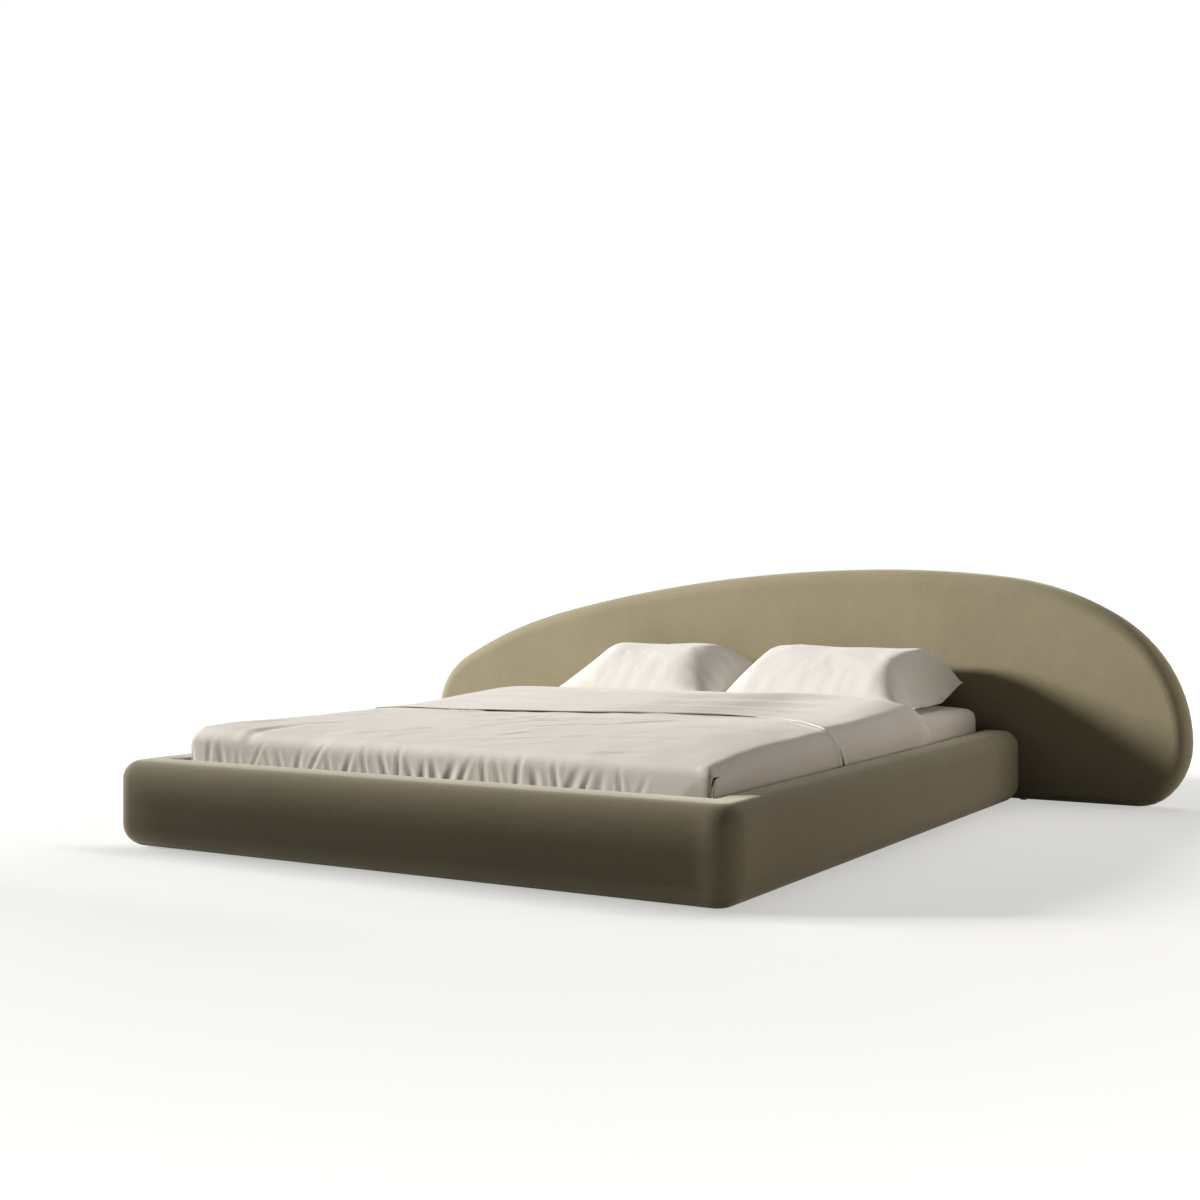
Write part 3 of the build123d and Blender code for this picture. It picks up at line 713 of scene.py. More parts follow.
def make_rails(settings):
    """The U of padding, cut into the foot rail and the side rails, with pockets for the timber cores."""
    whole = new_block("rails", (-HALF_BASE, FOOT_Y, FLOOR_GAP), (HALF_BASE, HEAD_Y, RAIL_TOP))
    round_edges(whole, lambda edge: along(edge, 2), settings.rail_corner_radius, 12)
    round_edges(whole, lambda edge: both_at(edge, 2, RAIL_TOP), settings.rail_top_radius, 10)
    round_edges(whole, lambda edge: both_at(edge, 2, FLOOR_GAP), settings.rail_under_radius, 10)
    carve(whole, (-WELL_X, WELL_Y, -BEYOND), (WELL_X, HEAD_Y + BEYOND, RAIL_TOP + BEYOND))

    def rim(edge):
        at_side = all(near(abs(vertex.co.x), WELL_X) for vertex in edge.verts)
        return (at_side or both_at(edge, 1, WELL_Y)) and both_at(edge, 2, RAIL_TOP)

    round_edges(whole, rim, RIM_RADIUS, 6)
    relief_x, relief_y = CORE_LOW[0] + COVER_THICKNESS, FOOT_CORE_HIGH[1] - COVER_THICKNESS
    carve(whole, (-relief_x, relief_y, -BEYOND), (relief_x, HEAD_Y + BEYOND, RAIL_TOP - HEM_DEPTH))
    for side in (1, -1):
        left, right = sorted((side * (WELL_X + WELL_PADDING), side * (CORE_HIGH[0] + CORE_ROOM)))
        low_y, low_z = (place - CORE_ROOM for place in CORE_LOW[1:])
        high_y, high_z = (place + CORE_ROOM for place in CORE_HIGH[1:])
        carve(whole, (left, low_y, low_z), (right, high_y, high_z))
    carve(
        whole, [place - CORE_ROOM for place in FOOT_CORE_LOW],
        (FOOT_CORE_HIGH[0] + CORE_ROOM, WELL_Y - WELL_PADDING, FOOT_CORE_HIGH[2] + CORE_ROOM))
    for name in ("foot_rail", "side_rail_right", "side_rail_left"):
        piece = copy_of(whole, f"{name}_upholstery")
        if name == "foot_rail":
            carve(piece, (ALL_LOW[0], WELL_Y, ALL_LOW[2]), ALL_HIGH)
        else:
            carve(piece, ALL_LOW, (ALL_HIGH[0], WELL_Y, ALL_HIGH[2]))
            cut(piece, (0, 0, 0), (-1 if name.endswith("right") else 1, 0, 0))
        smooth_look(piece, 40)
        dress(piece, "bed_frame", [f"{name}_cover", f"{name}_foam"], FINISHES["upholstery"])
    bpy.data.objects.remove(whole, do_unlink=True)


# Mattress and bedding

def arc_drop(inward, run, drop):
    """How far a crowned top has fallen at a distance in from its edge."""
    out = run - inward
    if out <= 0:
        return 0.0
    radius = (run * run + drop * drop) / (2 * drop)
    return radius - math.sqrt(max(radius * radius - min(out, run) ** 2, 0.0))


# How far the mattress's crown falls at its sides and head and at its foot, and over what run. The right
# side sags further at the foot, and the left side stays firmer there
SIDE_RUN, SIDE_DROP = 0.240, 0.017
FOOT_RUN, FOOT_DROP = 0.450, 0.030
RIGHT_SAG = 0.010
LEFT_FIRMNESS = 0.55
# Roundings of the block's upright corners and top edge
MATTRESS_CORNER = 0.060
DUVET_CORNER = 0.022
TOP_EDGE = 0.028


def crown_drop(x, y):
    """The fall of the mattress's top below its middle."""
    side = arc_drop(MATTRESS_HIGH[0] - abs(x), SIDE_RUN, SIDE_DROP)
    foot = arc_drop(y - MATTRESS_LOW[1], FOOT_RUN, FOOT_DROP)
    head = arc_drop(MATTRESS_HIGH[1] - y, SIDE_RUN, SIDE_DROP)
    sag = RIGHT_SAG * ease(x, 0.45, 0.78) * (1 - ease(y, -0.95, -0.35))
    firm = LEFT_FIRMNESS * ease(-x, 0.35, 0.75) * (1 - ease(y, -0.90, -0.40))
    return math.sqrt(side * side + foot * foot + head * head) * (1 - firm) + sag


def bedding_block(name, grow, top, low_z, voxel, corner, head_end=None):
    """The mattress's crowned block, grown by a distance at its sides and on top, in even squares."""
    low = (MATTRESS_LOW[0] - grow, MATTRESS_LOW[1] - grow, low_z)
    high = (
        MATTRESS_HIGH[0] + grow,
        MATTRESS_HIGH[1] + grow if head_end is None else head_end,
        MATTRESS_HIGH[2] + top)
    piece = new_block(name, low, high)
    round_edges(piece, lambda edge: along(edge, 2), corner, 8)
    round_edges(piece, lambda edge: both_at(edge, 2, high[2]), TOP_EDGE + top, 8)
    even_out(piece, voxel)
    crown_start, crown_end = MATTRESS_LOW[2] + 0.06, high[2] - 0.02

    def crown(point, normal):
        share = ease(point.z, crown_start, crown_end)
        return Vector((point.x, point.y, point.z - share * crown_drop(point.x, point.y)))

    move_points(piece, crown)
    return piece


def make_mattress():
    """The mattress in its quilted ticking, with a taped edge top and bottom."""
    piece = bedding_block(
        "mattress_ticking", grow=-0.0004, top=-0.0004, low_z=MATTRESS_LOW[2], voxel=0.014, corner=MATTRESS_CORNER)
    tape_width, tape_depth = 0.008, 0.004
    tapes = (MATTRESS_LOW[2] + 0.022, MATTRESS_HIGH[2] - 0.052)

    def quilt(point, normal):
        side = 1 - ease(abs(normal.z), 0.3, 0.8)
        tape = sum(hump(point.z, place, tape_width) for place in tapes)
        return point - normal * (side * tape_depth * min(tape, 1.0))

    move_points(piece, quilt)
    smooth_look(piece)
    dress(piece, "mattress", ["mattress_cover", "mattress_core"], FINISHES["ticking"])


def make_fitted_sheet():
    """The fitted sheet, pulled over the mattress with short gathers at its head corners."""
    thickness = 0.0011
    piece = bedding_block(
        "fitted_sheet_cotton", grow=thickness, top=thickness, low_z=MATTRESS_LOW[2] - 0.02, voxel=0.012,
        corner=MATTRESS_CORNER)
    cut(piece, (0, 0, MATTRESS_LOW[2] + 0.001), (0, 0, -1))

    def gather(point, normal):
        corner = hump(MATTRESS_HIGH[0] - abs(point.x), 0, 0.16) * hump(MATTRESS_HIGH[1] - abs(point.y), 0, 0.22)
        fan = math.sin((point.x + 1.7 * point.y) * 120) * 0.00128 * corner * (1 - abs(normal.z))
        slack = 0.0014 * ripple(point.x * 5, point.y * 2.4, point.z * 9)
        return point + normal * (fan + max(slack, -0.0004))

    move_points(piece, gather)
    apply_modifier(piece, "SOLIDIFY", "cloth", thickness=thickness, offset=-1)
    smooth_look(piece)
    dress(piece, "mattress", ["fitted_sheet"], FINISHES["sheet_cotton"])


def foot_puckers(chance):
    """Places of the gathers above the foot rail: where, how wide, how they lean, how tall and how deep."""
    found = []
    x = -0.735
    while x < 0.66:
        busy = 0.55 + 0.45 * hump(x, 0.1, 0.45)
        found.append((
            x, chance.uniform(0.007, 0.014), chance.uniform(-0.35, 0.55),
            chance.uniform(0.270, 0.300), chance.uniform(0.55, 1.0) * busy))
        x += chance.uniform(0.034, 0.066)
    return found


# Groups of creases on the duvet's top: how many, and the spans of their places across and along, of their
# directions in degrees as middle and spread, and of their half lengths and half widths
CREASE_GROUPS = (
    (95, (-0.76, 0.55), (-0.95, -0.10), (42, 15), (0.05, 0.19), (0.008, 0.018)),
    (16, (-0.35, 0.55), (-0.60, -0.32), (6, 7), (0.08, 0.22), (0.010, 0.018)),
)


def top_creases(chance):
    """Long faint creases on the duvet: middle, direction, half length, half width and height."""
    found = []
    for count, places_x, places_y, turns, halves, widths in CREASE_GROUPS:
        for _ in range(count):
            x, y = chance.uniform(*places_x), chance.uniform(*places_y)
            turn = math.radians(chance.gauss(*turns))
            found.append((x, y, turn, chance.uniform(*halves), chance.uniform(*widths), chance.uniform(-1, 1)))
    return found


# The duvet's folded corners: how high they go, where their fold starts across at the rails' top, how much
# further out it lies per metre of height, how far the cloth draws in per metre outside it, and the slit
# in it, measured inwards from the duvet's side and rearwards from its front
CORNER_TOP = 0.276
CORNER_START, CORNER_LEAN, CORNER_SLOPE = 0.733, 1.06, 0.09
CORNER_EDGE = DUVET_HIGH[0] - 0.006
SLIT_INWARD = (0.0085, 0.0050)
SLIT_DEPTH = 0.045


def gathers(puckers, x, z):
    """The gathers over the foot rail: hollows with a ridge on both sides."""
    total = 0.0
    for place, width, lean, reach, share in puckers:
        off = (x - place - lean * (z - 0.235)) / width
        if abs(off) < 3:
            tall = 1 - ease(z, reach - 0.045, reach + 0.012)
            total += share * tall * (0.55 * hump(abs(off), 1.45, 0.7) - hump(off, 0, 0.75))
    return total


def creasing(creases, x, y):
    """The long faint creases on top."""
    total = 0.0
    for middle_x, middle_y, turn, half, width, rise in creases:
        dx, dy = x - middle_x, y - middle_y
        run = dx * math.cos(turn) + dy * math.sin(turn)
        if abs(run) < 1.6 * half:
            off = -dx * math.sin(turn) + dy * math.cos(turn) + 0.25 * run * run
            if abs(off) < 4 * width:
                total += rise * hump(run, 0, 0.75 * half) * crest(off, width)
    return total


def plump(x, y):
    """How much the duvet's filling lifts it above the mattress's crown."""
    return 0.012 * hump(x, 0.20, 0.42) * hump(y, -0.30, 0.45)


def make_duvet(settings):
    """The duvet, tucked in at the foot with gathers and folded corners."""
    chance = random.Random(11)
    puckers = foot_puckers(chance)
    creases = top_creases(chance)
    piece = bedding_block(
        "duvet_cotton", grow=DUVET_HIGH[0] - MATTRESS_HIGH[0], top=DUVET_HIGH[2] - MATTRESS_HIGH[2],
        low_z=DUVET_LOW[2] - 0.03, voxel=0.0075, corner=DUVET_CORNER, head_end=DUVET_HIGH[1] + 0.10)
    cut(piece, (0, DUVET_HIGH[1], 0), (0, 1, 0))
    cut(piece, (0, 0, DUVET_LOW[2]), (0, 0, -1))
    front = DUVET_LOW[1]

    def rumple(point, normal):
        x, y, z = point
        push = plump(x, y) * max(normal.z, 0)
        push += 0.0022 * ripple(x * 4.2, y * 4.2, z * 5.0) * ease(DUVET_HIGH[1] - y, 0.0, 0.2)
        push += 0.0013 * ripple(x * 11, y * 8, z * 12)
        if y > -0.40:
            path = across_at(x, z)
            behind = y - fold_edge(path)
            ridge = (0.45 + 0.55 * ease(path, 0.40, 0.55)) * hump(behind, -0.022, 0.012)
            push += BAND_SINK * (ridge - ease(behind, -0.015, -0.001))
        at_front = 1 - ease(y - front, 0.045, 0.11)
        if at_front > 0:
            push += settings.pucker_depth * at_front * gathers(puckers, x, z)
        if normal.z > 0.3:
            push += settings.crease_height * creasing(creases, x, y)
        moved = point + normal * push
        fold = CORNER_START + CORNER_LEAN * (z - RAIL_TOP)
        if y < front + 0.030 and z < CORNER_TOP and fold < abs(x) < CORNER_EDGE:
            past = abs(x) - fold
            share = min(6 * past / (CORNER_EDGE - CORNER_START), 1)
            moved.y += CORNER_SLOPE * past * share * (1 - ease(y, front + 0.020, front + 0.030))
        return moved

    move_points(piece, rumple)
    for side in (1, -1):
        edges = sorted(side * (DUVET_HIGH[0] - inward) for inward in SLIT_INWARD)
        slit(piece, edges, front + SLIT_DEPTH, CORNER_TOP)
    apply_modifier(piece, "SOLIDIFY", "filling", thickness=0.0072, offset=-1)
    smooth_look(piece)
    dress(piece, "covers", ["duvet"], FINISHES["duvet_cotton"])


# The turned-down sheet's section: its side, the radius, arc and level of its shoulders, its flat half width
# and the height where it ends
BAND_SIDE = BAND_HIGH[0] - 0.0012
BAND_SHOULDER = 0.070
BAND_BEND = BAND_SHOULDER * math.pi / 2
BAND_LEVEL = DUVET_HIGH[2] - BAND_SHOULDER
BAND_FLAT = BAND_SIDE - BAND_SHOULDER
BAND_END_Z = 0.168
# Its head end, the length turned under at its folded edge, and its distance from the duvet
BAND_END_Y = BAND_HIGH[1]
BAND_UNDER = 0.055
BAND_GAP = 0.0012
BAND_SQUARES = (250, 100)
# How deep the folded edge sinks into the duvet, and how far its lip stands off it
BAND_SINK = 0.004
BAND_LIP = 0.0065
# Rolls behind the folded edge: distance from it, width and share of the full height
BAND_ROLLS = ((0.050, 0.026, 0.85), (0.165, 0.042, 1.0), (0.315, 0.050, 0.9), (0.480, 0.055, 1.0))
# Where the folded edge lies, by the distance across from the bed's middle
FOLD_LINE = (
    (-1.10, -0.17), (-0.85, -0.20), (-0.70, -0.262), (-0.557, -0.275), (-0.25, -0.285),
    (0.10, -0.285), (0.30, -0.220), (0.44, -0.150), (0.57, -0.125), (0.66, -0.165),
    (0.74, -0.225), (0.80, -0.258), (0.845, -0.240), (0.90, -0.195), (1.10, -0.18),
)


def fold_edge(path):
    """Where the turned-down sheet's folded edge lies, evened out over a short way across."""
    total = 0.0
    for shift in (-0.035, 0.0, 0.035):
        place = min(max(path + shift, -1.09), 1.09)
        for (x0, y0), (x1, y1) in zip(FOLD_LINE, FOLD_LINE[1:]):
            if x0 <= place <= x1:
                total += y0 + (y1 - y0) * (place - x0) / (x1 - x0)
                break
    return total / 3


def across_at(x, z):
    """Distance across from the bed's middle, measured over the duvet, of a place on it."""
    out = abs(x) - BAND_FLAT
    if out <= 0:
        return x
    if z > BAND_LEVEL:
        path = BAND_FLAT + BAND_SHOULDER * math.atan2(out, z - BAND_LEVEL)
    else:
        path = BAND_FLAT + BAND_BEND + BAND_LEVEL - z
    return math.copysign(path, x)


def band_section(path):
    """Place and direction of the duvet's outer surface, at a distance across from the middle."""
    side = 1 if path >= 0 else -1
    out = abs(path)
    if out <= BAND_FLAT:
        return side * out, DUVET_HIGH[2], 0.0, 1.0
    if out <= BAND_FLAT + BAND_BEND:
        angle = (out - BAND_FLAT) / BAND_SHOULDER
        x, z = BAND_FLAT + BAND_SHOULDER * math.sin(angle), BAND_LEVEL + BAND_SHOULDER * math.cos(angle)
        return side * x, z, side * math.sin(angle), math.cos(angle)
    return side * BAND_SIDE, BAND_LEVEL - (out - BAND_FLAT - BAND_BEND), side * 1.0, 0.0


def rolled(inner, path, x, settings):
    """How far the sheet stands up behind its fold, in soft rolls that heap up towards the pillows."""
    out = abs(path)
    flat = 1 - 0.97 * ease(out, 0.34, 0.64)
    heap = 1 - 0.97 * ease(out, 0.66, 0.88)
    spread = 1 + 0.22 * x / 0.8
    wave = 0.012 * ripple(x * 3.1, 2.0, 0.3)
    lift = 0.004 * ease(inner, 0.02, 0.09) + settings.heap_height * heap * ease(inner, 0.10, 0.58)
    for place, width, share in BAND_ROLLS:
        lift += settings.roll_height * share * flat * crest(inner - place * spread - wave, width, 0.8)
    return lift


def make_turned_sheet(settings):
    """The top sheet turned back over the duvet: a folded edge, soft rolls and a smooth drop at each side."""
    half_path = BAND_FLAT + BAND_BEND + (BAND_LEVEL - BAND_END_Z)
    columns, rows = BAND_SQUARES
    clear_selection()
    bpy.ops.mesh.primitive_grid_add(x_subdivisions=columns, y_subdivisions=rows, size=1)
    piece = settle(bpy.context.object, "turned_down_sheet_cotton")
    for vertex in piece.data.vertices:
        path = 2 * vertex.co.x * half_path
        x, z, nx, nz = band_section(path)
        turn = 0.0016 - 0.0006 * ease(abs(path), 0.20, 0.45)
        start = fold_edge(path) + turn
        loop = math.pi * turn
        run = (vertex.co.y + 0.5) * (BAND_UNDER + loop + BAND_END_Y - start)
        if run < BAND_UNDER:
            y, lift = start + BAND_UNDER - run, BAND_GAP
            open_share = ease(run, 0.0, BAND_UNDER)
        elif run < BAND_UNDER + loop:
            angle = (run - BAND_UNDER) / turn
            y, lift = start - turn * math.sin(angle), BAND_GAP + turn * (1 - math.cos(angle))
            open_share = 1.0
        else:
            inner = run - BAND_UNDER - loop
            y, lift = start + inner, BAND_GAP + 2 * turn + rolled(inner, path, x, settings)
            open_share = hump(inner, 0, 0.045)
            past = ease(y, BAND_END_Y - 0.060 - 0.09 * (1 - nz), BAND_END_Y - 0.002)
            lift += past * (0.0016 - 0.0125 * nz - 0.0068 * (1 - nz) - lift)
            lift *= 1 - 0.55 * (1 - nz) * ease(inner, 0.0, 0.03)
        lift += 0.0016 * ripple(x * 7, y * 6, z * 7)
        lift -= BAND_SINK * (1 - ease(y, DUVET_HIGH[1] - 0.08, DUVET_HIGH[1] + 0.06))
        lift += BAND_LIP * open_share * (0.40 + 0.60 * nz) * (1 - 0.40 * ease(path, 0.40, 0.55))
        fall = (crown_drop(x, y) - plump(x, y)) * ease(z, 0.19, DUVET_HIGH[2] - 0.02)
        vertex.co = (x + nx * (lift - 0.004 * (1 - nz)), y, z + nz * lift - fall)
    piece.data.update()
    apply_modifier(piece, "SMOOTH", "relax", factor=0.3, iterations=1)
    outward(piece)
    apply_modifier(piece, "SOLIDIFY", "cloth", thickness=0.0014, offset=0)
    smooth_look(piece)
    dress(piece, "covers", ["turned_down_sheet"], FINISHES["sheet_cotton"])


# Pillows

CASE_LENGTH, CASE_DEPTH, CASE_RIM = 0.80, 0.585, 0.016
# The cotton of the case, filled with air in the simulation, and the simulation's length
CASE_CLOTH = {
    "quality": 6, "mass": 0.25, "tension_stiffness": 30, "compression_stiffness": 30, "shear_stiffness": 12,
    "bending_stiffness": 0.25, "use_pressure": True, "uniform_pressure_force": 5.5,
}
FILLING_FRAMES = 24
# How far a crease of the stuffed case may stand out or in
CREASE_LIMIT = 0.010
# How much taller the full case is than the pillow's solid, and the share of its depth where it is fullest
EXTRA_HEIGHT = 0.012
FULLEST = 0.68
# At the left and right end of each pillow: its flat margin in front and at the rear, the run of its
# rise, and how steep it starts
PILLOW_ENDS = {
    "pillow_right": {-1: (0.030, 0.010, 0.105, 0.62), 1: (0.048, 0.010, 0.110, 0.72)},
    "pillow_left": {-1: (0.082, 0.028, 0.185, 0.72), 1: (0.0, 0.0, 0.190, 0.55)},
}
PILLOW_SEEDS = {"pillow_right": 3, "pillow_left": 8}


def blown_pillow(name, seed):
    """A stuffed case: two rectangles sewn together at their edges and filled by a cloth simulation."""
    clear_selection()
    bpy.ops.mesh.primitive_cube_add(size=1, scale=(CASE_LENGTH, CASE_DEPTH, CASE_RIM))
    piece = settle(bpy.context.object, name)
    even_out(piece, 0.0105)
    shift = random.Random(seed).uniform(0, 50)

    def slack(point, normal):
        wobble = ripple(point.x * 9 + shift, point.y * 9, point.z * 40)
        return Vector((point.x, point.y, point.z + 0.003 * wobble * (1 if point.z > 0 else -1)))

    rest = [vertex.co.copy() for vertex in piece.data.vertices]
    move_points(piece, slack)
    cloth = piece.modifiers.new("filling", "CLOTH")
    for key, value in CASE_CLOTH.items():
        setattr(cloth.settings, key, value)
    cloth.settings.effector_weights.gravity = 0
    scene = bpy.context.scene
    scene.frame_start, scene.frame_end = 1, FILLING_FRAMES
    for number in range(1, FILLING_FRAMES + 1):
        scene.frame_set(number)
    take(piece)
    bpy.ops.object.modifier_apply(modifier=cloth.name)
    scene.frame_set(1)
    return piece, rest


def calmed(piece):
    """The points of a copy of the piece with its creases smoothed away."""
    smooth = copy_of(piece, "calmed")
    apply_modifier(smooth, "SMOOTH", "calm", factor=0.5, iterations=30)
    points = [vertex.co.copy() for vertex in smooth.data.vertices]
    bpy.data.objects.remove(smooth, do_unlink=True)
    return points


def fullness(end, back, shape):
    """Share of the full height, at a distance from the pillow's end and a share of its depth."""
    front_margin, rear_margin, run, power = shape
    margin = front_margin + (rear_margin - front_margin) * ease(back, 0.2, 0.95)
    run *= 1 - 0.25 * ease(back, 0.3, 0.9)
    swell = math.sin(math.pi / 2 * min(max(end - margin, 0) / run, 1)) ** power
    if back < FULLEST:
        return swell * math.sin(math.pi / 2 * max(back, 0) / FULLEST) ** 0.53
    return swell * math.sqrt(max(1 - ((back - FULLEST) / (1 - FULLEST)) ** 2, 0))


def lay_pillow(piece, rest, node, seed):
    """Fits the stuffed case to its place: plump, flat underneath and raised at the headboard."""
    low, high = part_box(node)
    blown = [vertex.co.copy() for vertex in piece.data.vertices]
    calm = calmed(piece)
    middle_x = (low[0] + high[0]) / 2
    length, depth = high[0] - low[0], high[1] - low[1]
    height = high[2] - low[2] + EXTRA_HEIGHT
    for vertex, flat, point, still in zip(piece.data.vertices, rest, blown, calm):
        side = 1 if flat.x > 0 else -1
        end = (1 - 2 * abs(flat.x) / CASE_LENGTH) * length / 2
        back = 0.5 + flat.y / CASE_DEPTH
        edge = max(2 * abs(flat.x) / CASE_LENGTH, 2 * abs(flat.y) / CASE_DEPTH)
        up = ease(flat.z, -CASE_RIM / 2, CASE_RIM / 2)
        swell = fullness(end, back, PILLOW_ENDS[node][side])
        rim = 0.010 + 0.056 * ease(back, 0.45, 1.0)
        under = rim * ease(edge, 0.78, 1.0) ** 1.3
        over = rim + (height - rim) * swell
        crease = min(max(point.z - still.z, -CREASE_LIMIT), CREASE_LIMIT) * (1 - ease(edge, 0.72, 0.95))
        z = under + (over - under) * up + 0.4 * crease * abs(2 * up - 1)
        fold = ripple(flat.x * 6 + seed, flat.y * 30 + 2 * flat.x, 1.7) * hump(end, 0.02, 0.10) * up
        pull = ripple(flat.x * 26 + seed, flat.y * 7, 4.1) * hump(back, 0.04, 0.16) * up
        z += 0.005 * fold + 0.0015 * pull
        if node == "pillow_left" and side > 0:
            past = 0.045 + 0.17 * min(back, 0.75) - end
            z -= 0.05 * up * swell * (past + math.hypot(past, 0.014))
        z += 0.006 * ripple(flat.x * 5 + seed, flat.y * 5, 0.4) * up * swell
        vertex.co = (middle_x + flat.x / CASE_LENGTH * length, low[1] + back * depth, low[2] + max(z, 0.0))
    piece.data.update()
    apply_modifier(piece, "SMOOTH", "relax", factor=0.4, iterations=2)
    apply_modifier(piece, "SUBSURF", "finer", levels=1, render_levels=1)
    smooth_look(piece)


def make_pillow(node, seed):
    """A pillow, stuffed and laid in its place."""
    piece, rest = blown_pillow(f"{node}_case", seed)
    lay_pillow(piece, rest, node, seed)
    dress(piece, node, [node], FINISHES["pillow_cotton"])


# Carried-over pieces and the stage

CARRIED = {
    "plywood": ("headboard_front_board", "headboard_back_board", "headboard_rim"),
    "upright_timber": tuple(f"headboard_stud_{i}" for i in range(1, 6)),
    "cross_timber": ("headboard_sole_rail", "foot_rail_core", "bearer_foot", "head_cross_rail"),
    "long_timber": ("side_rail_right_core", "side_rail_left_core", "bearer_right", "bearer_left"),
    "steel": ("hanging_plate_right", "hanging_plate_left", "corner_angle_right", "corner_angle_left"),
    "bolt_steel": ("headboard_bolts", "rail_bolts"),
    "frame_steel": (
        "slat_frame_side_tube_right", "slat_frame_side_tube_left", "slat_frame_foot_tube",
        "slat_frame_head_tube", "slat_frame_centre_tube", "centre_legs"),
    "beech": ("slats_right", "slats_left"),
    "holder_plastic": ("slat_holders_centre", "slat_holders_right", "slat_holders_left", "centre_leg_feet"),
    "glide_plastic": ("headboard_glides", "rail_glides"),
}
FINISHES = {}
# The key light's direction of travel
KEY_TRAVEL = (1.0, 0.50, -0.33)
# Soft lights: place, what they look at, size and colour
SOFT_LIGHTS = {
    "top": ((0.0, 2.2, 3.6), (0.0, 0.2, 0), (4.5, 3.0), (1.0, 1.0, 1.0)),
    "side": ((5.5, 2.4, 1.2), (0.6, 0.2, 0.15), (3.0, 1.6), (1.0, 0.93, 0.82)),
    "left": ((-4.5, FOOT_Y + 0.1, 1.5), (0.0, 0.6, 0.4), (1.8, 1.4), (0.84, 0.95, 1.0)),
}
# Cards: the face they shade and their distance from it, the lowest and highest place they shade, and how
# far past the rails' sides they go
SHADES = {
    "rail_shade": (FOOT_Y, 0.35, FLOOR_GAP - 0.02, RAIL_TOP - 0.022, 0.02),
    "bedding_shade": (DUVET_LOW[1], 0.20, 0.243, 0.276, -0.06),
}
CAMERA_PLACE = (2.4693, FOOT_Y - 3.1666, 0.7113)
CAMERA_TURN = math.radians(30.458)
LENS, SENSOR_WIDTH, LENS_SHIFT = 49.05, 36, -0.01125
# How much lighter than the rails the headboard's weave is made in the same fabric: painted light, standing in for
# the stronger light on the headboard
HEADBOARD_PAINTED_LIGHT = 1.32


def make_finishes(upholstery, bedding):
    """Every finish of the bed, by its slot."""
    # The headboard's copy of the rail weave is lighter: painted light, not a different fabric
    lighter = [HEADBOARD_PAINTED_LIGHT * value for value in upholstery.colour]
    FINISHES.update({
        "headboard": woven_upholstery("headboard_weave", lighter),
        "upholstery": woven_upholstery("rail_weave", upholstery.colour),
        "lining": plain_lining("dark_lining", (0.025, 0.022, 0.018)),
        "ticking": quilted_knit("quilted_ticking", (0.78, 0.75, 0.69)),
        "sheet_cotton": washed_cotton("sheet_cotton", bedding.colour, 0.8),
        "duvet_cotton": washed_cotton("duvet_cotton", bedding.colour, 1.0),
        "pillow_cotton": washed_cotton("pillow_cotton", bedding.pillow_colour, 0.9),
        "plywood": laid_plywood("birch_plywood", (0.56, 0.37, 0.19)),
        "upright_timber": sawn_wood("upright_pine", (0.60, 0.40, 0.20), 2),
        "cross_timber": sawn_wood("cross_pine", (0.60, 0.40, 0.20), 0),
        "long_timber": sawn_wood("long_pine", (0.60, 0.40, 0.20), 1),
        "steel": coated_metal("black_coated_steel", (0.018, 0.018, 0.020), 0.45),
        "bolt_steel": coated_metal("zinc_plate", (0.62, 0.62, 0.60), 0.28, 1.0, 900.0),
        "frame_steel": coated_metal("grey_coated_steel", (0.085, 0.085, 0.090), 0.42),
        "beech": sawn_wood("sealed_beech", (0.66, 0.42, 0.22), 0, 0.82, 0.45),
        "holder_plastic": moulded_plastic("holder_plastic", (0.012, 0.012, 0.012)),
        "glide_plastic": moulded_plastic("glide_plastic", (0.02, 0.02, 0.02)),
    })


def dress_frame_nodes():
    """Finishes for the frame's own pieces that stay as they are."""
    for finish, nodes in CARRIED.items():
        for node in nodes:
            give_finish(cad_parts[node], FINISHES[finish])


def make_floor():
    clear_selection()
    bpy.ops.mesh.primitive_grid_add(x_subdivisions=8, y_subdivisions=8, size=60)
    floor = settle(bpy.context.object, "floor")
    give_finish(floor, bare_floor())


def make_camera():
    """The photographer's place: low, to the right of the foot end."""
    bpy.ops.object.camera_add(location=CAMERA_PLACE, rotation=(math.pi / 2, 0, CAMERA_TURN))
    camera = bpy.context.object
    camera.data.lens = LENS
    camera.data.sensor_width = SENSOR_WIDTH
    camera.data.shift_y = LENS_SHIFT
    camera.data.clip_end = 200
    bpy.context.scene.camera = camera


def add_soft_light(name, place, target, size, colour, power):
    bpy.ops.object.light_add(type="AREA", location=place)
    lamp = bpy.context.object
    lamp.name = name
    lamp.data.shape = "RECTANGLE"
    lamp.data.size, lamp.data.size_y = size
    lamp.data.energy = power
    lamp.data.color = colour
    lamp.rotation_euler = (Vector(target) - Vector(place)).to_track_quat("-Z", "Y").to_euler()


def add_shade(name, low, high):
    """A card that only takes light away."""
    card = new_block(name, low, high)
    card.visible_camera = False
    card.visible_glossy = False
    card.visible_diffuse = False


def make_shades():
    """Cards that keep the low key light off the foot rail's front and the bedding's front."""
    for name, (face_y, away, low_z, high_z, past) in SHADES.items():
        shift, rise = away * KEY_TRAVEL[0] / KEY_TRAVEL[1], -away * KEY_TRAVEL[2] / KEY_TRAVEL[1]
        left, right = -HALF_BASE - shift - past, HALF_BASE - shift + past
        y = face_y - away
        add_shade(name, (left, y - 0.002, low_z + rise), (right, y, high_z + rise))


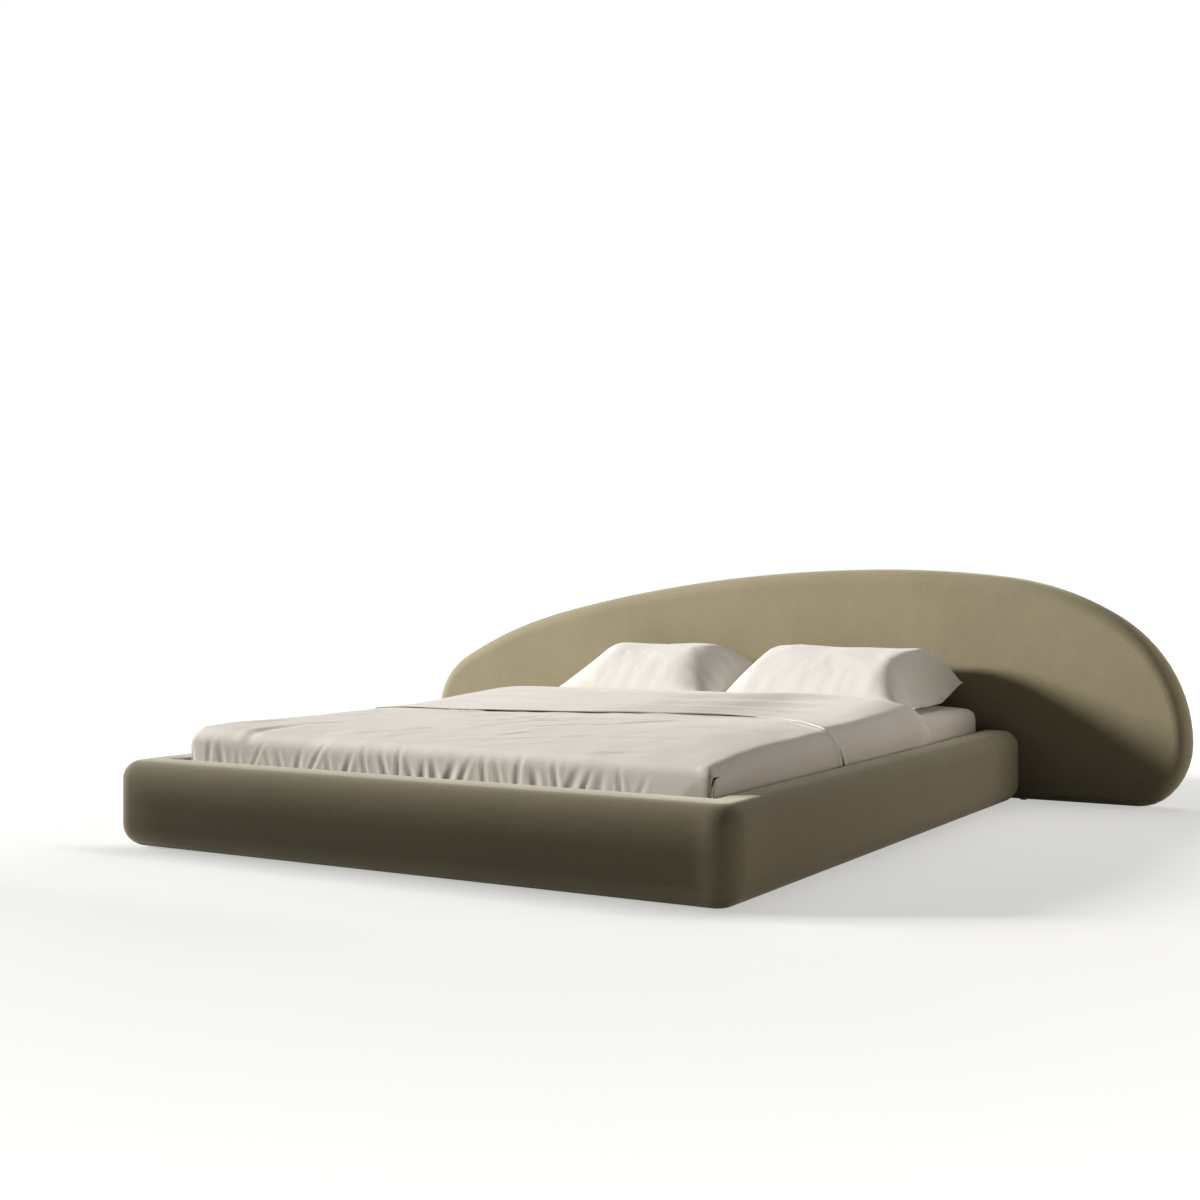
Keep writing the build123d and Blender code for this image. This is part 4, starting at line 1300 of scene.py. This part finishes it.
def make_lights(settings):
    bpy.ops.object.light_add(type="SUN", location=(-4, -2, 2))
    key = bpy.context.object
    key.name = "key"
    key.data.energy = settings.key_strength
    key.data.angle = math.radians(10)
    key.data.color = (1.0, 0.985, 0.955)
    key.rotation_euler = Vector(KEY_TRAVEL).to_track_quat("-Z", "Y").to_euler()
    for name, light in SOFT_LIGHTS.items():
        add_soft_light(name, *light, getattr(settings, f"{name}_power"))


def make_world(settings):
    """Even ambient light, and plain white where the camera looks past the floor."""
    world = bpy.data.worlds.new("studio")
    bpy.context.scene.world = world
    world.use_nodes = True
    made = Wiring(world.node_tree)
    ambient = made.tree.nodes["Background"]
    made.feed(ambient.inputs["Color"], (1.0, 0.99, 0.975, 1))
    made.feed(ambient.inputs["Strength"], settings.sky)
    white = made.node("Background", {}, {"Color": (1, 1, 1, 1), "Strength": 1.0})
    seen = made.node("LightPath", {}, {}, "Is Camera Ray")
    mirrored = made.node("LightPath", {}, {}, "Is Glossy Ray")
    either = made.node("Math", {"operation": "MAXIMUM"}, {0: seen, 1: mirrored})
    made.end_with("World", made.node("MixShader", {}, {0: either, 1: Wire(made, ambient.outputs[0]), 2: white}))


# Operators

class Step:
    """What every operator here has: it makes one group of pieces from the scene's settings."""

    def execute(self, context):
        self.make(context.scene)
        return {"FINISHED"}


class BED_OT_finishes(Step, bpy.types.Operator):
    """Make every finish and put the frame's own pieces in theirs"""
    bl_idname = "bed.finishes"
    bl_label = "Finishes"

    def make(self, scene):
        make_finishes(scene.bed_upholstery, scene.bed_bedding)
        dress_frame_nodes()


class BED_OT_headboard(Step, bpy.types.Operator):
    """Make the headboard's padded cover and its back lining"""
    bl_idname = "bed.headboard"
    bl_label = "Headboard"

    def make(self, scene):
        make_headboard(scene.bed_upholstery)
        make_back_lining()


class BED_OT_rails(Step, bpy.types.Operator):
    """Make the padded foot rail and side rails"""
    bl_idname = "bed.rails"
    bl_label = "Rails"

    def make(self, scene):
        make_rails(scene.bed_upholstery)


class BED_OT_mattress(Step, bpy.types.Operator):
    """Make the mattress and its fitted sheet"""
    bl_idname = "bed.mattress"
    bl_label = "Mattress"

    def make(self, scene):
        make_mattress()
        make_fitted_sheet()


class BED_OT_covers(Step, bpy.types.Operator):
    """Make the duvet and the sheet turned down over it"""
    bl_idname = "bed.covers"
    bl_label = "Covers"

    def make(self, scene):
        make_duvet(scene.bed_bedding)
        make_turned_sheet(scene.bed_bedding)


class BED_OT_pillows(Step, bpy.types.Operator):
    """Make both pillows by cloth simulation"""
    bl_idname = "bed.pillows"
    bl_label = "Pillows"

    def make(self, scene):
        for node, seed in PILLOW_SEEDS.items():
            make_pillow(node, seed)


class BED_OT_stage(Step, bpy.types.Operator):
    """Make the floor, the lights, the world and the camera"""
    bl_idname = "bed.stage"
    bl_label = "Stage"

    def make(self, scene):
        make_floor()
        make_shades()
        make_camera()
        make_lights(scene.bed_stage)
        make_world(scene.bed_stage)
        scene.view_settings.view_transform = "Standard"


class BED_PT_panel(bpy.types.Panel):
    """Lists the bed's pieces in the sidebar"""
    bl_idname = "BED_PT_panel"
    bl_label = "Bed"
    bl_space_type = "VIEW_3D"
    bl_region_type = "UI"
    bl_category = "Bed"

    def draw(self, context):
        scene = context.scene
        for group in (scene.bed_upholstery, scene.bed_bedding, scene.bed_stage):
            box = self.layout.box()
            for name in group.__annotations__:
                box.prop(group, name)
        for step in STEPS:
            self.layout.operator(step.bl_idname)


STEPS = (
    BED_OT_stage, BED_OT_finishes, BED_OT_headboard, BED_OT_rails,
    BED_OT_mattress, BED_OT_covers, BED_OT_pillows,
)
GROUPS = {"bed_upholstery": UpholsterySettings, "bed_bedding": BeddingSettings, "bed_stage": StageSettings}


def register():
    for kind in (*GROUPS.values(), *STEPS, BED_PT_panel):
        bpy.utils.register_class(kind)
    for name, kind in GROUPS.items():
        setattr(bpy.types.Scene, name, bpy.props.PointerProperty(type=kind))


def unregister():
    for name in GROUPS:
        delattr(bpy.types.Scene, name)
    for kind in reversed((*GROUPS.values(), *STEPS, BED_PT_panel)):
        bpy.utils.unregister_class(kind)


def main():
    register()
    for step in STEPS:
        group, name = step.bl_idname.split(".")
        getattr(getattr(bpy.ops, group), name)()
    clear_selection()


if __name__ == "__main__":
    main()
